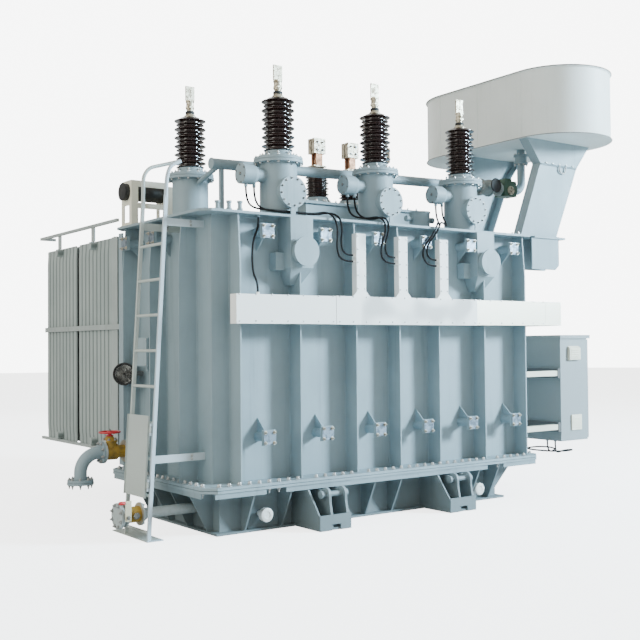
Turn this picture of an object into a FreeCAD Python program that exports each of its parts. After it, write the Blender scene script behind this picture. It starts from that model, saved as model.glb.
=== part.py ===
"""Oil-filled power transformer: bell tank on a flanged base, turret bushings, conservator and radiators.

Frame: millimetres, origin at the centre of the base plate's underside, X along the front, Y to the back, Z up.
"""

import FreeCAD, Part
import math
import os

V = FreeCAD.Vector

# Base and lower tank
BASE_X = 1725.0            # half length of the base plate
BASE_Y = 761.0             # half width of the base plate
BASE_T = 20.0
LOW_X = 1660.0             # half length of the lower tank wall
LOW_Y = 695.0
WALL_T = 12.0

# Flanged joint between the lower tank and the bell
FLANGE_X0 = -1939.0
FLANGE_X1 = 2120.0
FLANGE_Y = 961.0
FLANGE_CUT = 110.0         # corner chamfer
FLANGE_T = 22.0
JOINT_Z = 388.0            # underside of the lower flange
GASKET_T = 4.0
APRON_H = 45.0
APRON_T = 12.0

# Bell tank
BELL_X0 = -1730.0
BELL_X1 = 1980.0
BELL_Y = 701.0
COVER_Z = 2735.0           # underside of the cover
COVER_T = 22.0
COVER_X0 = -1910.0
COVER_X1 = 2130.0
COVER_Y = 882.0
RIB_D = 175.0              # depth of the flat-bar ribs
RIB_T = 14.0
CORNER_STRIP_W = 82.0
RIB_X = (-1546.0, -926.0, -298.0, 225.0, 734.0, 1360.0, 1963.0)
END_RIB_Y = (-438.0, 125.0, 690.0)

# Jacking and hauling boxes
JACK_X = (-754.0, 776.0)
JACK_W = 336.0
JACK_Y = 1138.0

# Fixing stubs between the ribs
STUB_X = (-1273.0, -652.0, -37.0, 564.0, 1165.0, 1787.0)
STUB_Z = (813.0, 2597.0)
END_STUB_Y = (610.0, 45.0)
END_STUB_Z = 2584.0

# Turrets and bushings
HV_X = (-1000.0, 128.0, 1260.0)
HV_Y = -646.0
NEUTRAL = (-1407.0, 254.0)
TUBE_R = 170.0
LV_X = (151.0, 593.0, 1035.0)
LV_Y = 350.0

# Conservator
CONS_R = 575.0
CONS_X = 2645.0
CONS_Y = (-760.0, 507.0)   # centres of the round ends
CONS_Z0 = 3815.0
CONS_Z1 = 4545.0
CONS_SHELL_T = 8.0
LEG_Y = (-830.0, 280.0)

# Pipe line from the tank to the conservator
RELAY_Y = -300.0
RELAY_Z = 3334.0

# Control cabinet
CAB_X0 = 2690.0
CAB_X1 = 3140.0
CAB_Y0 = -721.0
CAB_Y1 = -1.0
CAB_Z0 = 515.0
CAB_Z1 = 1695.0
CAB_T = 6.0

# Ladder, leaning towards the tank
LADDER_Y = (-593.0, -160.0)
LADDER_FOOT_X = -2272.0
LADDER_TOP_X = -2122.0
LADDER_TOP_Z = 2500.0
RUNG_Z0 = 70.0
RUNG_PITCH = 300.0
LADDER_HAND = (            # bends of the near and far handrail: X and Z
    ((-2090, 3040), (-2056, 3130), (-1960, 3178)),
    ((-2096, 3100), (-2040, 3178), (-1752, 3263)),
)
RUNGS = 9
GATE_X = 30.0              # gate axis in front of the rails' middle line
GATE_Z = (352.0, 1030.0)
GATE_HINGE_Z = (462.0, 920.0)

# Radiators behind the tank
RAD_Y = (1085.0, 2000.0)
RAD_W = 860.0
RAD_Z0 = 600.0
RAD_Z1 = 2690.0
RAD_X0 = -1830.0
RAD_BANK = 4
RAD_PLATES = 16
RAD_PITCH = 52.0
RAD_PLATE_T = 12.0
RAD_BANK_PITCH = 930.0
RAD_GAP = RAD_BANK_PITCH - (RAD_PLATES - 1) * RAD_PITCH - RAD_PLATE_T
RAD_MAIN_Z = (RAD_Z0 + 45.0, RAD_Z1 - 45.0)
RAD_MAIN_R = 50.0
RAD_BRANCH_R = 46.0
RAD_HEADER_R = 42.0
RAD_STUB_X = (-1420.0, 930.0)

# Valves at the left end
DRAIN = (-2150.0, 450.0, 645.0)    # centre of the gate valve
DRAIN_FLANGE_R = 101.0
LOWV = (-2330.0, -400.0, 204.0)    # centre of the lower valve
LEVER_X = -2424.0

# Dial thermometer: middle of its face, and the turn of the face from -X towards -Y in degrees
DIAL = (-1932.0, 605.0, 1349.0)
DIAL_TURN = 53.0

# Rear cradle
CRADLE_X = (-1815.0, -1440.0)      # outer faces of the two end plates
CRADLE_Y = (678.0, 905.0)
CRADLE_TOP = 3215.0
CRADLE_AXIS_Y = 791.0
CRADLE_AXIS_Z = 3107.0

# Cables
CABLE_D = 18.0


def box(x0, x1, y0, y1, z0, z1):
    """Block between two corners."""
    return Part.makeBox(x1 - x0, y1 - y0, z1 - z0, V(x0, y0, z0))


def cyl(x, y, z, r, length, axis=(0, 0, 1)):
    """Round bar from a point along an axis."""
    return Part.makeCylinder(r, length, V(x, y, z), V(*axis))


def prism_z(points, z0, z1):
    """Plan outline carried from z0 to z1."""
    pts = [V(x, y, z0) for x, y in points]
    return Part.Face(Part.makePolygon(pts + pts[:1])).extrude(V(0, 0, z1 - z0))


def prism_y(points, y0, y1):
    """Outline in X and Z carried from y0 to y1."""
    pts = [V(x, y0, z) for x, z in points]
    return Part.Face(Part.makePolygon(pts + pts[:1])).extrude(V(0, y1 - y0, 0))


def prism_x(points, x0, x1):
    """Outline in Y and Z carried from x0 to x1."""
    pts = [V(x0, y, z) for y, z in points]
    return Part.Face(Part.makePolygon(pts + pts[:1])).extrude(V(x1 - x0, 0, 0))


def turned(x, y, profile):
    """Solid of revolution about a vertical axis, from radius and height pairs."""
    pts = [V(x + r, y, z) for r, z in profile]
    face = Part.Face(Part.makePolygon(pts + pts[:1]))
    return face.revolve(V(x, y, 0), V(0, 0, 1), 360)


def fused(shapes):
    """One solid out of touching pieces."""
    first = shapes[0]
    return first.fuse(shapes[1:]).removeSplitter()


def group(shapes):
    """Like pieces of one node, kept as separate solids."""
    solids = []
    for shape in shapes:
        solids.extend(shape.Solids)
    return Part.makeCompound(solids)


def mirrored_y(shape):
    """The same piece on the back face."""
    return shape.mirror(V(0, 0, 0), V(0, 1, 0))


def both_faces(shapes):
    """Pieces of the front face with their copies on the back face."""
    return group(list(shapes) + [mirrored_y(s) for s in shapes])


def chamfered_plate(x0, x1, y, cut, z0, z1):
    """Flat plate with its four corners cut."""
    points = [
        (x0 + cut, -y), (x1 - cut, -y), (x1, -y + cut), (x1, y - cut),
        (x1 - cut, y), (x0 + cut, y), (x0, y - cut), (x0, -y + cut),
    ]
    return prism_z(points, z0, z1)


def write(node, shape):
    """One STEP file for one node."""
    shape.exportStep("parts/" + node + ".step")


# ---------------------------------------------------------------- base and flange

def base_plate():
    plates = [box(-BASE_X, BASE_X, -BASE_Y, BASE_Y, 0, BASE_T)]
    for x in JACK_X:
        half = JACK_W / 2
        plates.append(box(x - half, x + half, -JACK_Y + 16, JACK_Y - 16, 0, BASE_T))
    return fused(plates)


def lower_tank_wall():
    outer = box(-LOW_X, LOW_X, -LOW_Y, LOW_Y, BASE_T, JOINT_Z + FLANGE_T)
    inner = box(-LOW_X + WALL_T, LOW_X - WALL_T, -LOW_Y + WALL_T, LOW_Y - WALL_T, BASE_T, JOINT_Z + FLANGE_T)
    return outer.cut(inner)


def ring(x0, x1, y, cut, inner, z0, z1):
    """Flange plate with the tank's opening through it."""
    plate = chamfered_plate(x0, x1, y, cut, z0, z1)
    ix0, ix1, iy = inner
    return plate.cut(box(ix0, ix1, -iy, iy, z0, z1))


def lower_flange():
    z1 = JOINT_Z + FLANGE_T
    plate = ring(FLANGE_X0, FLANGE_X1, FLANGE_Y, FLANGE_CUT, (-LOW_X, LOW_X, LOW_Y), JOINT_Z, z1)
    y0 = FLANGE_Y - 24
    parts = [plate]
    for x0, x1 in ((FLANGE_X0 + 95, -1346), (-1142, 1299), (1529, FLANGE_X1 - 110)):
        for side in (-1, 1):
            lo, hi = sorted((side * y0, side * (y0 + APRON_T)))
            parts.append(box(x0, x1, lo, hi, JOINT_Z - APRON_H, JOINT_Z))
    for x in (FLANGE_X0 + 12, FLANGE_X1 - 24):
        parts.append(box(x, x + APRON_T, -FLANGE_Y + 110, FLANGE_Y - 110, JOINT_Z - APRON_H, JOINT_Z))
    return fused(parts)


def flange_gasket():
    z0 = JOINT_Z + FLANGE_T
    return ring(FLANGE_X0 + 12, FLANGE_X1 - 12, FLANGE_Y - 12, FLANGE_CUT,
                (BELL_X0, BELL_X1, BELL_Y), z0, z0 + GASKET_T)


def upper_flange():
    z0 = JOINT_Z + FLANGE_T + GASKET_T
    return ring(FLANGE_X0, FLANGE_X1, FLANGE_Y, FLANGE_CUT, (BELL_X0, BELL_X1, BELL_Y), z0, z0 + FLANGE_T)


def base_gussets():
    """Trapezoid plates between the base plate and the lower flange."""
    top = JOINT_Z
    front = [(-LOW_Y, BASE_T), (-BASE_Y + 8, BASE_T), (-FLANGE_Y + 28, top), (-LOW_Y, top)]
    shapes = []
    for x in (-1440, -1060, -120, 200, 1230, 1500):
        shapes.append(prism_x(front, x - 8, x + 8))
    shapes = shapes + [mirrored_y(s) for s in shapes]
    left = [(-LOW_X, BASE_T), (-BASE_X + 8, BASE_T), (FLANGE_X0 + 28, top), (-LOW_X, top)]
    right = [(LOW_X, BASE_T), (BASE_X - 8, BASE_T), (FLANGE_X1 - 28, top), (LOW_X, top)]
    for y in (-575, -225, 125, 475):
        shapes.append(prism_y(left, y - 8, y + 8))
        shapes.append(prism_y(right, y - 8, y + 8))
    return group(shapes)


def jacking_box(x):
    """Box with two hauling lugs and a cross pin, open to the sides."""
    half = JACK_W / 2
    side = [(-LOW_Y, BASE_T), (-JACK_Y + 16, BASE_T), (-JACK_Y + 16, 130), (-960, JOINT_Z - 50),
            (-900, JOINT_Z - 50), (-900, JOINT_Z), (-LOW_Y, JOINT_Z)]
    parts = [prism_x(side, x - half, x - half + 16), prism_x(side, x + half - 16, x + half)]
    front = box(x - half, x + half, -JACK_Y, -JACK_Y + 16, 0, 135)
    parts.append(front.cut(box(x - 45, x + 55, -JACK_Y, -JACK_Y + 16, 0, 52)))
    lug = [(-LOW_Y, BASE_T), (-JACK_Y + 16, BASE_T), (-JACK_Y + 16, 130), (-1100, 240), (-1100, 300),
           (-1040, 300), (-980, 330), (-900, 330), (-900, 345), (-LOW_Y, 345)]
    pin_y, pin_z = -1040, 300
    for lx in (x - 42, x + 130):
        parts.append(prism_x(lug, lx, lx + 24))
        parts.append(cyl(lx, pin_y, pin_z, 60, 24, (1, 0, 0)))
    parts.append(cyl(x - 90, pin_y, pin_z, 24, 268, (1, 0, 0)))
    parts.append(cyl(x - 96, pin_y, pin_z, 34, 22, (1, 0, 0)))
    parts.append(cyl(x + 166, pin_y, pin_z, 34, 22, (1, 0, 0)))
    return fused(parts)


def drain_plug(x, z):
    """Oil-sampling valve low on the front wall: short body and a round cap."""
    return fused([
        cyl(x, -LOW_Y, z, 24, 60, (0, -1, 0)),
        cyl(x, -LOW_Y - 60, z, 44, 20, (0, -1, 0)),
        cyl(x, -LOW_Y - 80, z, 57, 30, (0, -1, 0)),
    ])


# ---------------------------------------------------------------- bell tank

def bell_wall():
    z0 = JOINT_Z + FLANGE_T + GASKET_T
    outer = box(BELL_X0, BELL_X1, -BELL_Y, BELL_Y, z0, COVER_Z)
    inner = box(BELL_X0 + WALL_T, BELL_X1 - WALL_T, -BELL_Y + WALL_T, BELL_Y - WALL_T, z0, COVER_Z)
    return outer.cut(inner)


def rib_outline(root, reach):
    """Flat bar, a little shallower under the cover; root and reach are distances from the tank's middle."""
    z0 = JOINT_Z + 2 * FLANGE_T + GASKET_T
    return [(root, z0), (reach, z0), (reach, COVER_Z - 420), (reach - 30, COVER_Z), (root, COVER_Z)]


def front_ribs():
    points = [(-y, z) for y, z in rib_outline(BELL_Y, BELL_Y + RIB_D)]
    return [prism_x(points, x - RIB_T / 2, x + RIB_T / 2) for x in RIB_X]


def end_ribs():
    """Ribs on the end walls; the rearmost on the left carries a corner strip that closes in the radiators."""
    left = [(-x, z) for x, z in rib_outline(-BELL_X0, -BELL_X0 + RIB_D)]
    right = rib_outline(BELL_X1, BELL_X1 + 120)
    shapes = []
    for y in END_RIB_Y:
        shapes.append(prism_y(left, y - RIB_T / 2, y + RIB_T / 2))
        shapes.append(prism_y(right, y - RIB_T / 2, y + RIB_T / 2))
    tip = BELL_X0 - RIB_D
    strip_y = END_RIB_Y[2] + RIB_T / 2
    strip = box(tip, tip + RIB_T, strip_y, strip_y + CORNER_STRIP_W, 480, COVER_Z - 40)
    shapes[4] = fused([shapes[4], strip])
    return group(shapes)


def cover():
    plate = chamfered_plate(COVER_X0, COVER_X1, COVER_Y, 80, COVER_Z, COVER_Z + COVER_T)
    return fused([plate, gland(-1335, -835, 2717, (0, 0, 1))])


def fixing_stub(x, z):
    """Core-fixing port: tube from the wall, square blank with a fin beside the tube."""
    up = 1 if z < 1600 else -1
    fin = [(-BELL_Y, z + up * 40), (-BELL_Y - 130, z + up * 40), (-BELL_Y, z + up * 165)]
    parts = [
        cyl(x, -BELL_Y, z, 42, 165, (0, -1, 0)),
        box(x - 66, x + 66, -BELL_Y - 181, -BELL_Y - 165, z - 66, z + 66),
        box(x - 62, x + 62, -BELL_Y - 195, -BELL_Y - 183, z - 62, z + 62),
        box(x - 50, x + 50, -BELL_Y - 183, -BELL_Y - 181, z - 50, z + 50),
        prism_x(fin, x - 5, x + 5),
    ]
    return fused(parts)


def end_stub(y, z):
    """The same port on the left end wall; a quarter turn takes its X to the wall's -Y."""
    stub = fixing_stub(-y, z)
    stub.rotate(V(0, 0, 0), V(0, 0, 1), -90)
    stub.translate(V(BELL_X0 + BELL_Y, 0, 0))
    return stub


def trunnion(x):
    """Lifting trunnion: a box over a rib, tapered at its foot, with a round bollard and end disc."""
    face = -BELL_Y - 205
    body = prism_y([(x - 120, COVER_Z), (x - 120, 2290), (x - 55, 2140), (x + 55, 2140), (x + 120, 2290),
                    (x + 120, COVER_Z)], face, -BELL_Y)
    taper = prism_x([(face, 2140), (face, 2290), (face + 120, 2140)], x - 125, x + 125)
    body = body.cut(taper)
    slot = prism_x([(-y, z) for y, z in rib_outline(BELL_Y, BELL_Y + RIB_D)], x - RIB_T / 2, x + RIB_T / 2)
    body = body.cut(slot)
    bollard = cyl(x, face, 2430, 110, 60, (0, -1, 0))
    disc = cyl(x, face - 60, 2430, 132, 16, (0, -1, 0))
    keeper = box(x - 210, x - 120, -BELL_Y - 100, -BELL_Y, 2270, 2425)
    return fused([body, bollard, disc, keeper])


def cable_tray():
    """Two end lengths of the closed tray on the ribs, and its return above the cabinet."""
    y0, y1 = -976, -BELL_Y - RIB_D
    return group([
        fused([box(-1648, -608, y0, y1, 1792, 2042), gland(-1405, -926, 2041, (0, 0, 1), 21)]),
        box(1155, 2165, y0, y1, 1792, 2042),
        box(2167, 2413, y0, y1, 1792, 2042),
        box(2313, 2413, y1 + 2, -300, 1792, 2042),
    ])


def tray_risers():
    """Middle length of the tray with three ducts that rise to the cover."""
    y0, y1 = -976, -BELL_Y - RIB_D
    parts = [box(-606, 1153, y0 - 3, y1, 1789, 2045)]
    for x in (-294, 212, 738):
        parts.append(box(x - 54, x + 54, y0 + 30, y1, 2045, 2625))
        flare = [(x - 98, 2045), (x + 98, 2045), (x + 54, 2095), (x - 54, 2095)]
        parts.append(prism_y(flare, y0 + 26, y0 + 30))
        for z in (2368, 2425):
            parts.append(gland(x - 72, -911, z, (1, 0, 0)))
    return fused(parts)


# ---------------------------------------------------------------- turrets and bushings

def turret_flange(x, y, z0):
    """Two bolted flange plates and the bushing's metal foot."""
    return [
        cyl(x, y, z0, 226, 24),
        cyl(x, y, z0 + 28, 222, 24),
        cyl(x, y, z0 + 24, 205, 4),
        turned(x, y, [(0, z0 + 52), (185, z0 + 52), (150, z0 + 78), (122, z0 + 84), (122, z0 + 112),
                      (0, z0 + 112)]),
    ]


def hv_turret(x):
    """Tube, bolted inspection cover facing the front and a terminal housing for its current transformer."""
    z0 = COVER_Z + COVER_T
    parts = [cyl(x, HV_Y, z0, TUBE_R, 3237 - z0)]
    parts += turret_flange(x, HV_Y, 3237)
    parts.append(cyl(x, HV_Y, 2960, 112, 212, (0, -1, 0)))
    parts.append(cyl(x, HV_Y - 212, 2960, 142, 12, (0, -1, 0)))
    parts.append(cyl(x, HV_Y - 226, 2960, 142, 14, (0, -1, 0)))
    parts.append(cyl(x, HV_Y - 224, 2960, 130, 2, (0, -1, 0)))
    housing = [(0, 0), (62, 0), (62, 240), (78, 252), (92, 286), (92, 400), (0, 400)]
    case = turned(0, 0, housing)
    case.rotate(V(0, 0, 0), V(0, 1, 0), -90)
    case.translate(V(x, HV_Y, 3120))
    parts.append(case)
    for gland_x in (x - 345, x - 260):
        parts.append(gland(gland_x, HV_Y, 3008, (0, 0, 1), 60))
    parts.append(box(x - 25, x + 25, HV_Y - 238, HV_Y - 226, z0, 2840))
    return fused(parts)


def neutral_turret():
    x, y = NEUTRAL
    z0 = COVER_Z + COVER_T
    parts = [cyl(x, y, z0, TUBE_R, 3180 - z0)]
    parts += turret_flange(x, y, 3180)
    return fused(parts)


def porcelain(x, y, z0, height, sheds, big, small, core):
    """Shed profile: large and small sheds in turn on a straight core."""
    pitch = height / sheds
    points = [(0, z0), (core, z0)]
    for i in range(sheds):
        z = z0 + pitch * i
        points += [(core, z + pitch * 0.10), (small, z + pitch * 0.14), (small, z + pitch * 0.20),
                   (core, z + pitch * 0.34), (core, z + pitch * 0.52), (big, z + pitch * 0.58),
                   (big, z + pitch * 0.66), (core, z + pitch * 0.88)]
    points += [(core, z0 + height), (0, z0 + height)]
    return turned(x, y, points)


def bushing_places():
    """Foot of each large porcelain: X, Y and Z."""
    places = [(x, HV_Y, 3349.0) for x in HV_X]
    places.append((NEUTRAL[0], NEUTRAL[1], 3292.0))
    return places


def bushing_terminal(x, y, z):
    """Cap, black ring, stem and a two-hole palm facing the front."""
    parts = [
        turned(x, y, [(0, z), (52, z), (36, z + 34), (0, z + 34)]),
        cyl(x, y, z + 34, 38, 30),
        cyl(x, y, z + 64, 30, 16),
        cyl(x, y, z + 80, 36, 88),
        box(x - 46, x + 46, y - 8, y + 8, z + 168, z + 305),
    ]
    shape = fused(parts)
    for hole_z in (205, 265):
        shape = shape.cut(cyl(x, y + 8, z + hole_z, 7, 16, (0, -1, 0)))
    return shape


def lv_turret():
    """Raised box on the cover that carries the low-voltage bushings."""
    z0 = COVER_Z + COVER_T
    parts = [box(-150, 1330, 130, 570, z0, 3050), box(-180, 1360, 100, 600, 3050, 3078)]
    for x in LV_X:
        parts.append(cyl(x, LV_Y, 3078, 150, 22))
        parts.append(turned(x, LV_Y, [(0, 3100), (135, 3100), (118, 3150), (0, 3150)]))
    return fused(parts)


def lv_terminal(x):
    """Clamp plate, two bars standing on it and a thick palm on each bar."""
    parts = [cyl(x, LV_Y, 3450, 44, 24), box(x - 78, x + 78, LV_Y - 62, LV_Y + 62, 3474, 3490)]
    for side in (-1, 1):
        bar_y = LV_Y + side * 33
        parts.append(box(x - 40, x + 40, bar_y - 12, bar_y + 12, 3490, 3620))
        parts.append(box(x - 72, x + 72, bar_y - 25, bar_y + 25, 3615, 3775))
    return fused(parts)


def gas_pipe():
    """Gas collecting pipe behind the turrets, rising to the relay, with a post and a branch."""
    x0, z0 = -1500.0, 3252.0
    x1, z1 = 1880.0, 3331.0
    y = RELAY_Y
    direction = V(x1 - x0, 0, z1 - z0)
    run = Part.makeCylinder(48, direction.Length, V(x0, y, z0), direction)
    cap = Part.makeCylinder(52, 14, V(x0, y, z0), direction)
    post = box(-1408, -1372, y - 18, y + 18, COVER_Z + COVER_T, 3235)
    foot = box(-1430, -1350, y - 40, y + 40, COVER_Z + COVER_T, COVER_Z + COVER_T + 10)
    branch_end = V(NEUTRAL[0], NEUTRAL[1] - 160, 3140)
    start = V(-1400, y, 3254)
    branch = Part.makeCylinder(24, (branch_end - start).Length, start, branch_end - start)
    branch = branch.cut(cyl(NEUTRAL[0], NEUTRAL[1], 2700, TUBE_R, 480))
    branch = branch.cut(cyl(NEUTRAL[0], NEUTRAL[1], 3180, 226, 60))
    return fused([run, cap, post, foot, branch])


def relief_pot():
    """Short pot on the cover with a knob on each side."""
    z0 = COVER_Z + COVER_T
    x, y = 868, -450
    parts = [cyl(x, y, z0, 105, 190), cyl(x, y, z0, 130, 14), cyl(x, y, z0 + 190, 112, 16)]
    for side in (-1, 1):
        parts.append(cyl(x, y, z0 + 130, 16, 165, (side, 0, 0)))
        parts.append(cyl(x + side * 150, y, z0 + 130, 30, 34, (side, 0, 0)))
    return fused(parts)


# ---------------------------------------------------------------- conservator

def oval(radius, z0, z1):
    """Straight-sided oval plan carried from z0 to z1."""
    y0, y1 = CONS_Y
    left = CONS_X - radius
    right = CONS_X + radius
    edges = [
        Part.Arc(V(left, y0, z0), V(CONS_X, y0 - radius, z0), V(right, y0, z0)).toShape(),
        Part.LineSegment(V(right, y0, z0), V(right, y1, z0)).toShape(),
        Part.Arc(V(right, y1, z0), V(CONS_X, y1 + radius, z0), V(left, y1, z0)).toShape(),
        Part.LineSegment(V(left, y1, z0), V(left, y0, z0)).toShape(),
    ]
    return Part.Face(Part.Wire(edges)).extrude(V(0, 0, z1 - z0))


def conservator_shell():
    z0, z1 = CONS_Z0 + 10, CONS_Z1 - 10
    return oval(CONS_R, z0, z1).cut(oval(CONS_R - CONS_SHELL_T, z0, z1))


def conservator_leg(y, side):
    """Channel post that leans outwards: waist, spread head and foot; its flanges turn to one side."""
    outline = [(1964, 2767), (2523, 2767), (2874, 3550), (3093, CONS_Z0), (2075, CONS_Z0), (2281, 3560)]
    z0 = COVER_Z + COVER_T
    foot = COVER_Z + COVER_T + 10
    web = prism_y(outline, y - 6, y + 6)
    left = [(1964, foot), (1976, foot), (2293, 3560), (2087, CONS_Z0), (2075, CONS_Z0), (2281, 3560)]
    right = [(2523, foot), (2874, 3550), (3093, CONS_Z0), (3081, CONS_Z0), (2862, 3550), (2511, foot)]
    y0, y1 = sorted((y, y + side * 110))
    pads = [box(1930, 2560, min(y, y + side * 130) - 10, max(y, y + side * 130) + 10, z0, foot)]
    return fused([web, prism_y(left, y0, y1), prism_y(right, y0, y1)] + pads)


def conservator_shelf():
    """Bracket plates off the tank's right end that carry the posts."""
    z0 = COVER_Z + COVER_T
    parts = [box(COVER_X1, 2620, -876, 440, COVER_Z, z0)]
    fin = [(BELL_X1 + 122, COVER_Z), (BELL_X1 + 122, 2400), (2470, 2400), (2530, 2450), (2530, COVER_Z)]
    for y in (-860, LEG_Y[0] + 120, LEG_Y[1] - 20, 400):
        parts.append(prism_y(fin, y, y + 12))
    return fused(parts)


def gas_relay():
    """Gas relay: square body between two flanges, with a raised lid."""
    y, z = RELAY_Y, RELAY_Z
    return fused([
        cyl(2190, y, z, 78, 16, (1, 0, 0)),
        box(2206, 2396, y - 78, y + 78, z - 80, z + 92),
        cyl(2396, y, z, 78, 16, (1, 0, 0)),
        box(2250, 2350, y - 50, y + 50, z + 92, z + 124),
    ])


def relay_valve():
    """Flap valve between the gas pipe and the relay, with its spindle to the front."""
    y, z = RELAY_Y, RELAY_Z
    parts = [
        cyl(1882, y, z, 95, 20, (1, 0, 0)),
        cyl(1902, y, z, 82, 120, (1, 0, 0)),
        cyl(2022, y, z, 95, 20, (1, 0, 0)),
        cyl(2042, y, z, 46, 130, (1, 0, 0)),
        cyl(2172, y, z, 78, 18, (1, 0, 0)),
        cyl(1962, y - 60, z, 26, 110, (0, -1, 0)),
    ]
    return fused(parts)


def relay_pipe():
    """Elbow and riser with a valve under the conservator."""
    y, z = RELAY_Y, RELAY_Z
    bend = 110.0
    x_up = 2560.0
    path = [
        Part.LineSegment(V(2412, y, z), V(x_up - bend, y, z)).toShape(),
        Part.Arc(V(x_up - bend, y, z), V(x_up - bend * (1 - math.sin(math.pi / 4)), y,
                                         z + bend * (1 - math.cos(math.pi / 4))), V(x_up, y, z + bend)).toShape(),
        Part.LineSegment(V(x_up, y, z + bend), V(x_up, y, CONS_Z0)).toShape(),
    ]
    profile = Part.Wire(Part.makeCircle(46, V(2412, y, z), V(1, 0, 0)))
    tube = Part.Wire(path).makePipeShell([profile], True, False)
    parts = [tube, cyl(x_up, y, 3650, 82, 18), cyl(x_up, y, 3668, 66, 70), cyl(x_up, y, 3738, 82, 18)]
    return fused(parts)


# ---------------------------------------------------------------- control cabinet

def cabinet_body():
    """Sheet-steel box, open on the side that its door closes, under a rain roof."""
    outer = box(CAB_X0, CAB_X1, CAB_Y0, CAB_Y1, CAB_Z0, CAB_Z1 - 40)
    inner = box(CAB_X0 + CAB_T, CAB_X1, CAB_Y0 + CAB_T, CAB_Y1 - CAB_T, CAB_Z0 + CAB_T, CAB_Z1 - 40 - CAB_T)
    parts = [outer.cut(inner), box(CAB_X0 - 12, CAB_X1 + 42, CAB_Y0 - 14, CAB_Y1 + 14, CAB_Z1 - 40, CAB_Z1)]
    for y in (-430, -545):
        parts.append(gland(2790, y, 497, (0, 0, 1)))
    for z in (CAB_Z0 + 180, CAB_Z1 - 230):
        parts.append(box(CAB_X1 - 60, CAB_X1 - 6, CAB_Y1, CAB_Y1 + 5, z - 45, z + 45))
        for dz in (-45, 16):
            parts.append(cyl(CAB_X1 + 15, CAB_Y1 + 13, z + dz, 7, 29))
            parts.append(box(CAB_X1 - 6, CAB_X1 + 13, CAB_Y1 + 1, CAB_Y1 + 10, z + dz, z + dz + 29))
    return fused(parts)


def cabinet_trim():
    """Ventilation hood and square vent cover on the front face."""
    hood = [(CAB_Y0, 1572), (CAB_Y0 - 34, 1548), (CAB_Y0 - 34, 1418), (CAB_Y0, 1412)]
    return group([prism_x(hood, 2815, 2995), box(2856, 3022, CAB_Y0 - 16, CAB_Y0, 632, 802)])


def cabinet_arms():
    """Cream arms that hang the cabinet off the tank's right end, each in a dark channel."""
    shapes = []
    for z in (1270, 675):
        shapes.append(box(BELL_X1, CAB_X0 - 40, CAB_Y0 + 10, CAB_Y0 + 70, z - 29, z + 29))
        shapes.append(box(BELL_X1, CAB_X0 - 40, -180, -120, z - 29, z + 29))
    return group(shapes)


def cabinet_channels():
    """Dark channels on the cabinet's back face that the arms bolt to."""
    shapes = []
    for z in (1270, 675):
        shapes.append(box(CAB_X0 - 40, CAB_X0, CAB_Y0 + 4, CAB_Y1 - 4, z - 52, z + 52))
    return group(shapes)


def cabinet_door():
    """Door leaf with turned-in edges, a handle near its free edge and three hinge leaves."""
    x0 = CAB_X1 + 5
    y0, y1 = CAB_Y0 + 5, CAB_Y1 - 3
    z0, z1 = CAB_Z0 + 20, CAB_Z1 - 50
    parts = [box(x0, x0 + 20, y0, y1, z0, z1)]
    parts.append(cyl(x0 + 20, y0 + 60, (z0 + z1) / 2, 22, 12, (1, 0, 0)))
    parts.append(box(x0 + 32, x0 + 46, y0 + 46, y0 + 74, (z0 + z1) / 2 - 75, (z0 + z1) / 2 + 75))
    for z in (CAB_Z0 + 180, CAB_Z1 - 230):
        parts.append(cyl(CAB_X1 + 15, CAB_Y1 + 13, z - 14, 7, 28))
        parts.append(box(x0 + 5, x0 + 15, y1, CAB_Y1 + 13, z - 14, z + 14))
    return fused(parts)


# ---------------------------------------------------------------- ladder

def corner(before, at, after):
    """Where a run bends: the arc's two ends, its middle and its radius."""
    a, b, c = V(*before), V(*at), V(*after)
    back = (a - b).normalize()
    on = (c - b).normalize()
    turn = math.pi - back.getAngle(on)
    reach = 0.45 * min((a - b).Length, (c - b).Length)
    radius = reach / math.tan(turn / 2)
    bisector = (back + on).normalize()
    middle = b + bisector * (radius / math.cos(turn / 2) - radius)
    return b + back * reach, middle, b + on * reach, radius


def swept(points, radius):
    """Tube of straight runs and tangent arcs along a route; also its length and bend radii."""
    edges = []
    radii = []
    start = V(*points[0])
    for i in range(1, len(points) - 1):
        first, middle, last, bend = corner(points[i - 1], points[i], points[i + 1])
        edges.append(Part.LineSegment(start, first).toShape())
        edges.append(Part.Arc(first, middle, last).toShape())
        radii.append(round(bend))
        start = last
    edges.append(Part.LineSegment(start, V(*points[-1])).toShape())
    path = Part.Wire(edges)
    profile = Part.Wire(Part.makeCircle(radius, V(*points[0]), V(*points[1]) - V(*points[0])))
    return path.makePipeShell([profile], True, False), path.Length, radii


def ladder_x(z):
    """Middle of a leaning rail at a height."""
    return LADDER_FOOT_X + (LADDER_TOP_X - LADDER_FOOT_X) * z / LADDER_TOP_Z


def leaned(shape, shift):
    """Tip an upright shape to the ladder's slope, in front of the rails' middle line by a shift."""
    lean = math.degrees(math.atan2(LADDER_TOP_X - LADDER_FOOT_X, LADDER_TOP_Z))
    shape.rotate(V(0, 0, 0), V(0, 1, 0), lean)
    shape.translate(V(LADDER_FOOT_X - shift, 0, 0))
    return shape


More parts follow.
